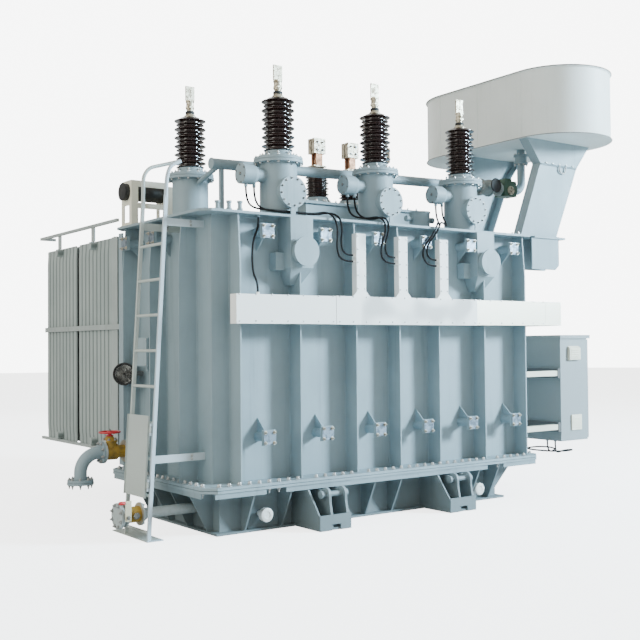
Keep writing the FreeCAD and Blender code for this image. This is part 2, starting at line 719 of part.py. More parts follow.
def ladder():
    """Two rails, rungs, bent round handrails, a foot plate and the gate's hinge lugs on the near rail."""
    half_x, half_y = 15, 12
    top = 2880
    hand_r = 17
    parts = []
    for y, bend in zip(LADDER_Y, LADDER_HAND):
        outline = [(ladder_x(0) - half_x, 0), (ladder_x(0) + half_x, 0), (ladder_x(top) + half_x, top),
                   (ladder_x(top) - half_x, top)]
        parts.append(prism_y(outline, y - half_y, y + half_y))
        route = [(ladder_x(top - 20), y, top - 20)] + [(x, y, z) for x, z in bend]
        parts.append(swept(route, hand_r)[0])
    for i in range(RUNGS):
        z = RUNG_Z0 + RUNG_PITCH * i
        parts.append(cyl(ladder_x(z), LADDER_Y[0], z, 13, LADDER_Y[1] - LADDER_Y[0], (0, 1, 0)))
    parts.append(box(LADDER_FOOT_X - 28, LADDER_FOOT_X + 120, LADDER_Y[0] - 32, LADDER_Y[1] + 220, 0, 8))
    for y, z in ((LADDER_Y[0], 665), (LADDER_Y[0], 2655), (LADDER_Y[1], 2655)):
        parts.append(box(ladder_x(z) - 10, BELL_X0, y + half_y, y + half_y + 10, z - 32, z + 32))
    for z in GATE_HINGE_Z:
        for z0 in (z - 50, z + 26):
            arm = box(0, 24, LADDER_Y[0] + 2, LADDER_Y[0] + 14, z0, z0 + 24)
            lug = fused([cyl(0, LADDER_Y[0] + 8, z0, 9, 24), arm])
            parts.append(leaned(lug, GATE_X))
    return fused(parts)


def ladder_gate():
    """Anti-climb plate hinged on the near rail; it leans with the ladder."""
    z0, z1 = GATE_Z
    y0 = LADDER_Y[0] + 34
    y1 = LADDER_Y[1] + 3
    parts = [box(-2, 2, y0, y1, z0, z1), box(-14, -2, y0, y0 + 4, z0, z1), box(-14, -2, y1 - 4, y1, z0, z1)]
    for z in GATE_HINGE_Z:
        parts.append(cyl(0, LADDER_Y[0] + 8, z - 24, 9, 48))
        parts.append(box(-3, 3, LADDER_Y[0] + 8, y0, z - 24, z + 24))
    return leaned(fused(parts), GATE_X)


# ---------------------------------------------------------------- radiators

def radiator_mains():
    """Oil mains behind the tank: stubs from its wall, a pipe along X, branches, an end plate."""
    y = RAD_Y[0] - 75
    x_end = RAD_X0 - 16
    shapes = []
    for z in RAD_MAIN_Z:
        length = RAD_X0 + RAD_BANK * RAD_BANK_PITCH - RAD_GAP - x_end
        shapes.append(cyl(x_end, y, z, RAD_MAIN_R, length, (1, 0, 0)))
        for x in RAD_STUB_X:
            shapes.append(cyl(x, BELL_Y, z, RAD_BRANCH_R, y - BELL_Y, (0, 1, 0)))
        for bank in (1, 3):
            x = RAD_X0 + bank * RAD_BANK_PITCH - RAD_GAP / 2
            shapes.append(cyl(x, y, z, RAD_BRANCH_R, RAD_Y[1] + RAD_W / 2 + 60 - y, (0, 1, 0)))
    shapes.append(box(x_end, x_end + 12, y - 68, y + 66, RAD_Z0 - 20, RAD_Z1))
    return fused(shapes)


def radiator(bank, y0, mains):
    """Block of pressed plates with a top and a bottom header, which the mains' branches reach."""
    x0 = RAD_X0 + bank * RAD_BANK_PITCH
    length = RAD_BANK_PITCH - RAD_GAP
    mid = y0 + RAD_W / 2
    y1 = y0 + RAD_W
    cut = 16
    outline = [(y0, RAD_Z0 + cut), (y0 + cut, RAD_Z0), (y1 - cut, RAD_Z0), (y1, RAD_Z0 + cut),
               (y1, RAD_Z1 - cut), (y1 - cut, RAD_Z1), (y0 + cut, RAD_Z1), (y0, RAD_Z1 - cut)]
    parts = []
    for i in range(RAD_PLATES):
        x = x0 + i * RAD_PITCH
        parts.append(prism_x(outline, x, x + RAD_PLATE_T))
    for z in RAD_MAIN_Z:
        parts.append(cyl(x0 - RAD_GAP / 2 + 2, mid, z, RAD_HEADER_R, length + RAD_GAP - 4, (1, 0, 0)))
    return fused(parts).cut(mains)


# ---------------------------------------------------------------- valves at the left end

def drain_valve():
    """Gate valve on a stub from the tank's left end, with a flange each side and a bonnet."""
    x, y, z = DRAIN
    parts = [
        cyl(BELL_X0, y, z, 57, -(x + 176) + BELL_X0, (-1, 0, 0)),
        cyl(x + 158, y, z, DRAIN_FLANGE_R, 18, (1, 0, 0)),
        cyl(x + 140, y, z, DRAIN_FLANGE_R, 18, (1, 0, 0)),
        cyl(x - 74, y, z, DRAIN_FLANGE_R, 18, (1, 0, 0)),
        cyl(x + 50, y, z, 58, 92, (1, 0, 0)),
        cyl(x - 62, y, z, 74, 126, (1, 0, 0)),
        cyl(x, y, z, 62, 92),
        cyl(x, y, z + 92, 72, 16),
        turned(x, y, [(0, z + 108), (58, z + 108), (30, z + 144), (14, z + 144), (14, z + 166),
                      (0, z + 166)]),
    ]
    return fused(parts)


def handwheel():
    """Five-spoke wheel on the stem."""
    x, y, z = DRAIN
    hub_z = z + 168
    rim = Part.makeTorus(92, 9, V(x, y, hub_z + 12))
    parts = [rim, cyl(x, y, hub_z, 20, 24)]
    for i in range(5):
        angle = math.radians(72 * i)
        parts.append(cyl(x, y, hub_z + 12, 7, 92, (math.cos(angle), math.sin(angle), 0)))
    return fused(parts)


def drain_elbow():
    """Elbow that turns the drain downwards to a flange closed by a bolted blank."""
    x, y, z = DRAIN
    x0 = x - 74
    run = 20.0
    bend = 170.0
    down = 60.0
    mid = bend * math.sin(math.pi / 4)
    start_x = x0 - 18
    end_x = start_x - run - bend
    end_z = z - bend - down
    path = [
        Part.LineSegment(V(start_x, y, z), V(start_x - run, y, z)).toShape(),
        Part.Arc(V(start_x - run, y, z), V(start_x - run - mid, y, z - bend + mid),
                 V(end_x, y, z - bend)).toShape(),
        Part.LineSegment(V(end_x, y, z - bend), V(end_x, y, end_z)).toShape(),
    ]
    ring_shape = Part.Wire(Part.makeCircle(57, V(start_x, y, z), V(-1, 0, 0)))
    tube = Part.Wire(path).makePipeShell([ring_shape], True, False)
    blank = fused([cyl(end_x, y, end_z - 20, 116, 20), cyl(end_x, y, end_z - 23, 104, 3),
                   cyl(end_x, y, end_z - 43, 118, 20)])
    for i in range(8):
        angle = math.radians(22.5 + 45 * i)
        blank = blank.cut(cyl(end_x + 97 * math.cos(angle), y + 97 * math.sin(angle), end_z - 43, 9, 43))
    near = cyl(x0, y, z, DRAIN_FLANGE_R, 18, (-1, 0, 0))
    return fused([tube, blank, near])


def lower_valve():
    """Valve low on the base's left end, its lever's spindle and the blank flange that closes it."""
    x, y, z = LOWV
    parts = [
        cyl(-LOW_X, y, z, 44, -(x + 78) - LOW_X, (-1, 0, 0)),
        cyl(x + 62, y, z, 96, 16, (1, 0, 0)),
        cyl(x - 60, y, z, 66, 122, (1, 0, 0)),
        cyl(x - 76, y, z, 96, 16, (1, 0, 0)),
        cyl(LEVER_X - 12, y, z, 60, x - 76 - LEVER_X + 12, (1, 0, 0)),
        cyl(LEVER_X - 26, y, z, 106, 14, (1, 0, 0)),
        cyl(LEVER_X - 28, y, z, 90, 2, (1, 0, 0)),
        cyl(LEVER_X - 42, y, z, 108, 14, (1, 0, 0)),
        cyl(x, y, z, 34, 84, (0, -1, 0)),
        cyl(LEVER_X, y, z, 11, 126, (0, -1, 0)),
    ]
    return fused(parts)


def valve_lever():
    """Flat lever on the valve's spindle with a grip at its end."""
    x, y, z = LEVER_X, LOWV[1] - 126, LOWV[2]
    parts = [
        cyl(x, y, z, 20, 12, (0, -1, 0)),
        box(x - 27, x + 27, y - 10, y - 2, z - 30, z + 138),
        cyl(x - 20, y - 6, z + 124, 12, 62, (-1, 0, 0)),
    ]
    return fused(parts)


# ---------------------------------------------------------------- left-end fittings

def dial_thermometer():
    """Round case on a stem from the end wall, turned to face the front left."""
    case = turned(0, 0, [(0, 0), (105, 0), (105, 62), (0, 62)])
    case.rotate(V(0, 0, 0), V(0, 1, 0), -90)
    case.rotate(V(0, 0, 0), V(0, 0, 1), DIAL_TURN)
    case.translate(V(DIAL[0] + 62 * math.cos(math.radians(DIAL_TURN)),
                     DIAL[1] + 62 * math.sin(math.radians(DIAL_TURN)), DIAL[2]))
    return fused([cyl(BELL_X0, DIAL[1] + 25, DIAL[2], 22, 145, (-1, 0, 0)), case])


def terminal_box():
    return fused([box(-1850, BELL_X0, 272, 512, 1420, 1690), cyl(-1790, 395, 1380, 16, 40)])


def rear_cradle():
    """Cream frame on the cover's back left corner: two windowed end plates, a foot and front rails."""
    z0 = COVER_Z + COVER_T
    y0, y1 = CRADLE_Y
    corner_r = 36
    parts = [box(CRADLE_X[0] - 12, CRADLE_X[1] + 30, y0, y1, z0, z0 + 30)]
    for x in CRADLE_X:
        plate = box(x, x + 12, y0, y1, z0 + 30, CRADLE_TOP)
        upper = [edge for edge in plate.Edges if edge.BoundBox.ZMin > CRADLE_TOP - 1]
        plate = plate.makeFillet(corner_r, [edge for edge in upper if edge.BoundBox.YLength < 1])
        window = box(x, x + 12, y0 + 57, y0 + 172, z0 + 53, z0 + 218)
        parts.append(plate.cut(window).cut(cyl(x, CRADLE_AXIS_Y, CRADLE_AXIS_Z, 84, 12, (1, 0, 0))))
        parts.append(box(x, x + 70, y0, y0 + 8, z0 + 30, CRADLE_TOP - corner_r))
    for z_low, z_high in ((2945, 2998), (3155, CRADLE_TOP)):
        parts.append(box(CRADLE_X[0], CRADLE_X[1] + 12, y0 + 8, y0 + 18, z_low, z_high))
    return fused(parts)


def cradle_tube():
    return cyl(CRADLE_X[0] - 35, CRADLE_AXIS_Y, CRADLE_AXIS_Z, 82, CRADLE_X[1] - CRADLE_X[0] + 92, (1, 0, 0))


def radiator_frame():
    """Bars at the left end of the radiators: a strap at half height and rails over and under the plates."""
    x0, x1 = RAD_X0 - 32, RAD_X0 - 4
    foot = RAD_MAIN_Z[1] + RAD_HEADER_R
    top = RAD_Z1 + 144
    upper = [box(x0, x1, 920, 3006, top, top + 30), box(x0, x1 + 150, 2976, 3006, top, top + 30)]
    for y0 in RAD_Y:
        mid = y0 + RAD_W / 2
        upper.append(box(x0 + 6, x0 + 18, mid - 40, mid + 40, foot, top))
    return group([
        box(x0 + 2, x0 + 12, END_RIB_Y[2] + RIB_T / 2, RAD_Y[1] + RAD_W, 1777, 1829),
        fused(upper),
        box(x0, x1, 1076, 2960, RAD_Z0 - 28, RAD_Z0 + 2),
    ])


def cover_pockets():
    """Thermometer pockets near the cover's front left corner."""
    z0 = COVER_Z + COVER_T
    parts = []
    for x, y in ((-1700, -760), (-1610, -800), (-1520, -830)):
        parts.append(fused([cyl(x, y, z0, 26, 22), cyl(x, y, z0 + 22, 18, 46), cyl(x, y, z0 + 68, 24, 18)]))
    return group(parts)


# ---------------------------------------------------------------- cables

CABLES = {
    "cable_1a": [(-1345, -646, 3008), (-1345, -646, 2915), (-1325, -700, 2815), (-1200, -825, 2788),
                 (-1000, -860, 2785), (-740, -830, 2786), (-628, -862, 2812), (-578, -926, 2762),
                 (-540, -926, 2640), (-552, -914, 2480), (-505, -911, 2368), (-366, -911, 2368)],
    "cable_1b": [(-1260, -646, 3008), (-1260, -646, 2915), (-1232, -700, 2812), (-1130, -806, 2786),
                 (-1000, -836, 2785), (-870, -808, 2785), (-690, -788, 2786), (-572, -838, 2812),
                 (-516, -924, 2766), (-494, -928, 2650), (-504, -914, 2540), (-470, -911, 2425),
                 (-366, -911, 2425)],
    "cable_2a": [(-217, -646, 3008), (-217, -646, 2915), (-205, -700, 2815), (-105, -800, 2790),
                 (-26, -868, 2812), (12, -926, 2762), (20, -926, 2650), (-45, -914, 2490),
                 (5, -911, 2368), (140, -911, 2368)],
    "cable_2b": [(-132, -646, 3008), (-132, -646, 2915), (-108, -705, 2815), (-30, -790, 2788),
                 (28, -862, 2814), (54, -926, 2768), (50, -928, 2655), (12, -914, 2545),
                 (40, -911, 2425), (140, -911, 2425)],
    "cable_3a": [(915, -646, 3008), (915, -646, 2915), (910, -700, 2812), (840, -790, 2788),
                 (745, -858, 2812), (672, -926, 2762), (600, -926, 2650), (480, -914, 2520),
                 (525, -911, 2368), (666, -911, 2368)],
    "cable_3b": [(1000, -646, 3008), (1000, -646, 2915), (1005, -705, 2812), (890, -830, 2788),
                 (780, -866, 2816), (706, -928, 2768), (645, -930, 2670), (536, -914, 2550),
                 (566, -911, 2425), (666, -911, 2425)],
    "cable_tray_end": [(-1335, -835, 2717), (-1335, -835, 2640), (-1385, -850, 2550), (-1412, -858, 2470),
                       (-1432, -880, 2350), (-1438, -905, 2220), (-1405, -926, 2140), (-1405, -926, 2062)],
    "cabinet_loop": [(2790, -430, 497), (2790, -430, 400), (2875, -415, 362), (2985, -385, 392),
                     (2975, -270, 404), (2850, -200, 408), (2700, -210, 406), (2590, -320, 408),
                     (2560, -480, 410), (2600, -640, 408), (2725, -720, 406), (2880, -705, 406),
                     (3000, -610, 398), (2965, -515, 384), (2875, -502, 362), (2790, -545, 400),
                     (2790, -545, 497)],
}


def cable(name):
    """One cable's tube; prints its bends, its length and its volume against a straight tube's."""
    tube, length, radii = swept(CABLES[name], CABLE_D / 2)
    section = math.pi * CABLE_D ** 2 / 4
    print(name, "radii", radii, "length", round(length), "volume ratio", round(tube.Volume / section / length, 4))
    return tube


def gland(x, y, z, axis, length=20):
    """Cable gland: a short round nut at a cable's end."""
    return cyl(x, y, z, 15, length, axis)


NODES = {
    "base_plate": base_plate(),
    "lower_tank_wall": lower_tank_wall(),
    "base_gussets": base_gussets(),
    "lower_flange": lower_flange(),
    "flange_gasket": flange_gasket(),
    "upper_flange": upper_flange(),
    "jacking_boxes": both_faces([jacking_box(x) for x in JACK_X]),
    "drain_plugs": group([drain_plug(-1263, 142), drain_plug(1309, 129)]),
    "bell_wall": bell_wall(),
    "side_ribs": both_faces(front_ribs()),
    "end_ribs": end_ribs(),
    "cover": cover(),
    "fixing_stubs": group([both_faces([fixing_stub(x, z) for x in STUB_X for z in STUB_Z])]
                          + [end_stub(y, END_STUB_Z) for y in END_STUB_Y]),
    "lifting_trunnions": both_faces([trunnion(x) for x in (RIB_X[1], RIB_X[5])]),
    "cable_tray": cable_tray(),
    "tray_risers": tray_risers(),
    "turrets": group([hv_turret(x) for x in HV_X] + [neutral_turret()]),
    "hv_bushings": group([porcelain(x, y, z, 484, 6, 149, 132, 97) for x, y, z in bushing_places()]),
    "lv_turret": lv_turret(),
    "lv_bushings": group([porcelain(x, LV_Y, 3150, 300, 5, 124, 114, 96) for x in LV_X]),
    "bushing_terminals": group([bushing_terminal(x, y, z + 484) for x, y, z in bushing_places()]
                               + [lv_terminal(x) for x in LV_X]),
    "gas_pipe": gas_pipe(),
    "relief_pot": relief_pot(),
    "conservator_shell": conservator_shell(),
    "conservator_ends": group([oval(CONS_R + 12, CONS_Z1 - 10, CONS_Z1), oval(CONS_R + 12, CONS_Z0, CONS_Z0 + 10)]),
    "conservator_legs": group([conservator_leg(LEG_Y[0], 1), conservator_leg(LEG_Y[1], -1)]),
    "conservator_shelf": conservator_shelf(),
    "gas_relay": gas_relay(),
    "relay_valve": relay_valve(),
    "relay_pipe": relay_pipe(),
    "cabinet_body": cabinet_body(),
    "cabinet_trim": cabinet_trim(),
    "cabinet_arms": cabinet_arms(),
    "cabinet_channels": cabinet_channels(),
    "cabinet_door": cabinet_door(),
    "ladder": ladder(),
    "ladder_gate": ladder_gate(),
    "drain_valve": drain_valve(),
    "handwheel": handwheel(),
    "drain_elbow": drain_elbow(),
    "lower_valve": lower_valve(),
    "valve_lever": valve_lever(),
    "dial_thermometer": dial_thermometer(),
    "terminal_box": terminal_box(),
    "rear_cradle": rear_cradle(),
    "cradle_tube": cradle_tube(),
    "cover_pockets": cover_pockets(),
}
NODES["radiator_mains"] = radiator_mains()
NODES["radiator_frame"] = radiator_frame()
for row, y0 in enumerate(RAD_Y):
    blocks = [radiator(bank, y0, NODES["radiator_mains"]) for bank in range(RAD_BANK)]
    NODES["radiator_row_%d" % (row + 1)] = group(blocks)
for name in CABLES:
    NODES[name] = cable(name)

os.makedirs("parts", exist_ok=True)
for node, shape in NODES.items():
    write(node, shape)
    print(node, len(shape.Solids), "solids", shape.isValid(), round(shape.Volume / 1e6, 2))
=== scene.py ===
import math

import bpy
import numpy as np
from mathutils import Matrix, Vector


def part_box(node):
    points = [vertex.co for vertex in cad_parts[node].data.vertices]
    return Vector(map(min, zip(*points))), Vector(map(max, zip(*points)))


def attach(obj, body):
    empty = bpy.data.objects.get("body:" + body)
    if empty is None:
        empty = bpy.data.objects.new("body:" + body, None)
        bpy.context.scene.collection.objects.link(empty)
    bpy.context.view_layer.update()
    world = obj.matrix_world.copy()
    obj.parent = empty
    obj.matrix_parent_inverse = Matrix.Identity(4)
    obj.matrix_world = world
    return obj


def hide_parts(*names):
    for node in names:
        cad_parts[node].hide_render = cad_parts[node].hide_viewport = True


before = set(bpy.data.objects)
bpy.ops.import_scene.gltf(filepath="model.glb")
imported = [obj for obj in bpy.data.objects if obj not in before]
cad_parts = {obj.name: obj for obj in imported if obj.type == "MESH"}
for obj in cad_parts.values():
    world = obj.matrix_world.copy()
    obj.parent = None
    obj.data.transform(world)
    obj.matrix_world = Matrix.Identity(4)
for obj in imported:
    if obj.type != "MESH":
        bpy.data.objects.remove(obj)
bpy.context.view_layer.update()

# Camera and lights. The camera stands off the front left corner at a man's height; a strong cool light from
# the front right takes the place of the sky, and weaker ones fill the ladder end and the back.
stand_at = Vector((-5.910, -8.026, 1.600))
heading, tilt, roll = math.radians(35.990), math.radians(1.492), math.radians(-0.511)
ahead = Vector((math.sin(heading) * math.cos(tilt), math.cos(heading) * math.cos(tilt), math.sin(tilt)))
level_right = Vector((math.cos(heading), -math.sin(heading), 0.0))
level_up = level_right.cross(ahead)
right = level_right * math.cos(roll) + level_up * math.sin(roll)
up = level_up * math.cos(roll) - level_right * math.sin(roll)
lens = bpy.data.cameras.new("yard_camera")
lens.lens = 55.47
lens.sensor_width = 36.0
lens.clip_end = 200.0
camera = bpy.data.objects.new("yard_camera", lens)
facing = Matrix((right, up, -ahead)).transposed()
camera.matrix_world = Matrix.Translation(stand_at) @ facing.to_4x4()
bpy.context.scene.collection.objects.link(camera)
bpy.context.scene.camera = camera


def soft_light(name, at, look_at, size, power, colour):
    """A square area light that faces a point."""
    lamp = bpy.data.lights.new(name, "AREA")
    lamp.shape = "SQUARE"
    lamp.size = size
    lamp.energy = power
    lamp.color = colour
    holder = bpy.data.objects.new(name, lamp)
    holder.location = at
    holder.rotation_euler = (Vector(look_at) - Vector(at)).to_track_quat("-Z", "Y").to_euler()
    bpy.context.scene.collection.objects.link(holder)


soft_light("key", (12.5, -11.0, 7.2), (0.0, 0.0, 1.5), 3.2, 10200.0, (0.62, 0.84, 1.0))
soft_light("left_fill", (-13.0, -1.0, 5.5), (0.0, 0.0, 1.8), 6.0, 620.0, (1.0, 0.985, 0.89))
soft_light("back_fill", (2.0, 14.0, 8.0), (0.0, 0.0, 2.0), 8.0, 500.0, (0.95, 0.98, 1.0))
sky = bpy.data.worlds.new("studio")
sky.use_nodes = True
sky.node_tree.nodes["Background"].inputs["Color"].default_value = (1.0, 1.0, 0.95, 1.0)
sky.node_tree.nodes["Background"].inputs["Strength"].default_value = 1.0
bpy.context.scene.world = sky


# Current transformer leads and the cabinet's loop. Black sheathed cable of 18 mm: two leads drop from
# each terminal housing, cross the cover's edge and turn into the risers; one more feeds the tray.
class Socket:
    """One shader socket; arithmetic on it adds Math nodes to its finish."""

    def __init__(self, finish, out):
        self.finish = finish
        self.out = out

    def maths(self, operation, a, b=0.0):
        return self.finish.node("ShaderNodeMath", {"operation": operation}, {0: a, 1: b})

    def __add__(self, other):
        return self.maths("ADD", self, other)

    def __radd__(self, other):
        return self.maths("ADD", other, self)

    def __sub__(self, other):
        return self.maths("SUBTRACT", self, other)

    def __rsub__(self, other):
        return self.maths("SUBTRACT", other, self)

    def __mul__(self, other):
        return self.maths("MULTIPLY", self, other)

    def __rmul__(self, other):
        return self.maths("MULTIPLY", other, self)

    def rise(self, low, high):
        """0 below low, 1 above high, smooth between."""
        sockets = {"Value": self, "From Min": low, "From Max": high}
        return self.finish.node("ShaderNodeMapRange", {"interpolation_type": "SMOOTHSTEP"}, sockets)


class Finish:
    """A material under construction, with its shader and one way of adding nodes."""

    def __init__(self, name, **shader):
        self.material = bpy.data.materials.new(name)
        self.material.use_nodes = True
        self.tree = self.material.node_tree
        self.shader = self.tree.nodes["Principled BSDF"]
        self.set(**shader)

    def set(self, **sockets):
        """Constants or sockets for the shader; an underscore in a name stands for a space."""
        for name, value in sockets.items():
            self.put(self.shader.inputs[name.replace("_", " ")], value)
        return self

    def put(self, socket, value):
        """Links or sets one input."""
        if isinstance(value, Socket):
            self.tree.links.new(value.out, socket)
        elif socket.type == "RGBA":
            socket.default_value = (*value, 1.0)
        else:
            socket.default_value = value

    def node(self, kind, settings=None, sockets=None, out=0):
        """Any other node: its type, its settings, and the values or links of its sockets."""
        made = self.tree.nodes.new(kind)
        for name, value in (settings or {}).items():
            setattr(made, name, value)
        for name, value in (sockets or {}).items():
            self.put(made.inputs[name], value)
        return Socket(self, made.outputs[out])

    def place(self):
        """Object coordinates, in metres."""
        return self.node("ShaderNodeTexCoord", out="Object")

    def split(self, vector):
        """X, Y and Z of a vector."""
        made = self.tree.nodes.new("ShaderNodeSeparateXYZ")
        self.put(made.inputs[0], vector)
        return [Socket(self, made.outputs[i]) for i in range(3)]

    def stretch(self, vector, scale):
        """The vector scaled along each axis; a small scale draws a pattern out."""
        return self.node("ShaderNodeMapping", {}, {"Vector": vector, "Scale": scale})

    def noise(self, vector, scale, detail=3.0, rough=0.55):
        sockets = {"Vector": vector, "Scale": scale, "Detail": detail, "Roughness": rough}
        return self.node("ShaderNodeTexNoise", {}, sockets)

    def blend(self, factor, first, second):
        """Second colour over the first, by a factor."""
        made = self.tree.nodes.new("ShaderNodeMix")
        made.data_type = "RGBA"
        self.put(made.inputs["Factor"], factor)
        self.put(made.inputs[6], first)
        self.put(made.inputs[7], second)
        return Socket(self, made.outputs[2])

    def bump(self, height, depth):
        """Normal from a height of 0 to 1 that stands for a depth in metres."""
        return self.set(Normal=self.node("ShaderNodeBump", {}, {"Height": height, "Distance": depth}))


def rubber_sheath():
    """Black cable sheath: nearly matt, faintly greyed by dust in soft patches."""
    finish = Finish("black_sheath", Specular_IOR_Level=0.2)
    patches = finish.noise(finish.place(), 9.0, 4.0)
    colour = finish.blend(patches.rise(0.45, 0.75), (0.006, 0.006, 0.007), (0.022, 0.023, 0.024))
    finish.set(Base_Color=colour, Roughness=0.6 + 0.25 * patches)
    return finish.bump(finish.noise(finish.place(), 260.0, 2.0), 0.0004).material


LEAD_D = 0.018
LEADS = {
    "cable_1a": [(-1.345, -0.646, 3.008), (-1.345, -0.646, 2.915), (-1.325, -0.700, 2.815),
                 (-1.200, -0.825, 2.788), (-1.000, -0.860, 2.785), (-0.740, -0.830, 2.786),
                 (-0.628, -0.862, 2.812), (-0.578, -0.926, 2.762), (-0.540, -0.926, 2.640),
                 (-0.552, -0.914, 2.480), (-0.505, -0.911, 2.368), (-0.366, -0.911, 2.368)],
    "cable_1b": [(-1.260, -0.646, 3.008), (-1.260, -0.646, 2.915), (-1.232, -0.700, 2.812),
                 (-1.130, -0.806, 2.786), (-1.000, -0.836, 2.785), (-0.870, -0.808, 2.785),
                 (-0.690, -0.788, 2.786), (-0.572, -0.838, 2.812), (-0.516, -0.924, 2.766),
                 (-0.494, -0.928, 2.650), (-0.504, -0.914, 2.540), (-0.470, -0.911, 2.425),
                 (-0.366, -0.911, 2.425)],
    "cable_2a": [(-0.217, -0.646, 3.008), (-0.217, -0.646, 2.915), (-0.205, -0.700, 2.815),
                 (-0.105, -0.800, 2.790), (-0.026, -0.868, 2.812), (0.012, -0.926, 2.762),
                 (0.020, -0.926, 2.650), (-0.045, -0.914, 2.490), (0.005, -0.911, 2.368),
                 (0.140, -0.911, 2.368)],
    "cable_2b": [(-0.132, -0.646, 3.008), (-0.132, -0.646, 2.915), (-0.108, -0.705, 2.815),
                 (-0.030, -0.790, 2.788), (0.028, -0.862, 2.814), (0.054, -0.926, 2.768),
                 (0.050, -0.928, 2.655), (0.012, -0.914, 2.545), (0.040, -0.911, 2.425),
                 (0.140, -0.911, 2.425)],
    "cable_3a": [(0.915, -0.646, 3.008), (0.915, -0.646, 2.915), (0.910, -0.700, 2.812),
                 (0.840, -0.790, 2.788), (0.745, -0.858, 2.812), (0.672, -0.926, 2.762),
                 (0.600, -0.926, 2.650), (0.480, -0.914, 2.520), (0.525, -0.911, 2.368),
                 (0.666, -0.911, 2.368)],
    "cable_3b": [(1.000, -0.646, 3.008), (1.000, -0.646, 2.915), (1.005, -0.705, 2.812),
                 (0.890, -0.830, 2.788), (0.780, -0.866, 2.816), (0.706, -0.928, 2.768),
                 (0.645, -0.930, 2.670), (0.536, -0.914, 2.550), (0.566, -0.911, 2.425),
                 (0.666, -0.911, 2.425)],
    "cable_tray_end": [(-1.335, -0.835, 2.717), (-1.335, -0.835, 2.640), (-1.385, -0.850, 2.550),
                       (-1.412, -0.858, 2.470), (-1.432, -0.880, 2.350), (-1.438, -0.905, 2.220),
                       (-1.405, -0.926, 2.140), (-1.405, -0.926, 2.062)],
    "cabinet_loop": [(2.790, -0.430, 0.497), (2.790, -0.430, 0.400), (2.875, -0.415, 0.362),
                     (2.985, -0.385, 0.392), (2.975, -0.270, 0.404), (2.850, -0.200, 0.408),
                     (2.700, -0.210, 0.406), (2.590, -0.320, 0.408), (2.560, -0.480, 0.410),
                     (2.600, -0.640, 0.408), (2.725, -0.720, 0.406), (2.880, -0.705, 0.406),
                     (3.000, -0.610, 0.398), (2.965, -0.515, 0.384), (2.875, -0.502, 0.362),
                     (2.790, -0.545, 0.400), (2.790, -0.545, 0.497)],
}
sheath = rubber_sheath()
for node, route in LEADS.items():
    line = bpy.data.curves.new(node + "_lead", "CURVE")
    line.dimensions = "3D"
    line.bevel_depth = LEAD_D / 2
    line.bevel_resolution = 3
    line.resolution_u = 8
    spline = line.splines.new("NURBS")
    spline.points.add(len(route) - 1)
    for point, at in zip(spline.points, route):
        point.co = (*at, 1.0)
    spline.order_u = 3
    spline.use_endpoint_u = True
    lead = bpy.data.objects.new(node + "_lead", line)
    bpy.context.scene.collection.objects.link(lead)
    line.materials.append(sheath)
    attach(lead, "transformer")
    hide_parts(node)


# Floor and backdrop. A concrete slab throws light back up under the transformer; over it lies a paler floor
# that only the camera sees, and far behind hangs a white studio curtain, also for the camera alone.
def stage_mesh(name, points, faces, material):
    """Staged mesh from points and faces."""
    mesh = bpy.data.meshes.new(name)
    mesh.from_pydata(points.tolist(), [], faces.tolist())
    mesh.materials.append(material)
    made = bpy.data.objects.new(name, mesh)
    bpy.context.scene.collection.objects.link(made)
    return made


def for_camera_only(made):
    """Takes a staged mesh out of every kind of ray but the camera's."""
    made.visible_diffuse = False
    made.visible_glossy = False
    made.visible_transmission = False
    made.visible_shadow = False


def concrete(name, dark, pale, glow=0.0):
    """Trowelled concrete, a little uneven in tone."""
    finish = Finish(name, Roughness=0.85, Emission_Strength=glow)
    place = finish.place()
    cloud = finish.noise(place, 0.35, 6.0, 0.6)
    colour = finish.blend(cloud, dark, pale)
    finish.set(Base_Color=colour, Emission_Color=colour)
    return finish.bump(finish.noise(place, 60.0, 4.0), 0.002).material


YARD = 60.0
CURTAIN_R = 58.0
CURTAIN_STEPS = 48
square = np.array([(-YARD, -YARD, 0.0), (YARD, -YARD, 0.0), (YARD, YARD, 0.0), (-YARD, YARD, 0.0)])
slab = stage_mesh("yard_slab", square - (0, 0, 0.003), np.array([[0, 1, 2, 3]]),
                  concrete("grey_concrete", (0.42, 0.43, 0.43), (0.50, 0.51, 0.51)))
slab.visible_camera = False
floor = stage_mesh("pale_floor", square - (0, 0, 0.002), np.array([[0, 1, 2, 3]]),
                   concrete("pale_floor", (0.80, 0.81, 0.81), (0.86, 0.86, 0.86), 3.8))
for_camera_only(floor)
t = np.linspace(0.0, 2 * np.pi, CURTAIN_STEPS + 1)[:-1]
walls = np.concatenate([np.stack([CURTAIN_R * np.cos(t), CURTAIN_R * np.sin(t), 0 * t + z], -1)
                        for z in (-1.0, CURTAIN_R)])
first = np.arange(CURTAIN_STEPS)
after = np.roll(first, -1)
curtain_white = Finish("white_curtain", Roughness=0.9, Emission_Strength=7.0)
folds = curtain_white.noise(curtain_white.place(), 0.05)
curtain_white.set(Emission_Color=curtain_white.blend(folds, (1.0, 1.0, 1.0), (0.97, 0.98, 0.98)))
strips = np.stack([after, first, first + CURTAIN_STEPS, after + CURTAIN_STEPS], -1)
curtain = stage_mesh("white_curtain", walls, strips, curtain_white.material)
for_camera_only(curtain)


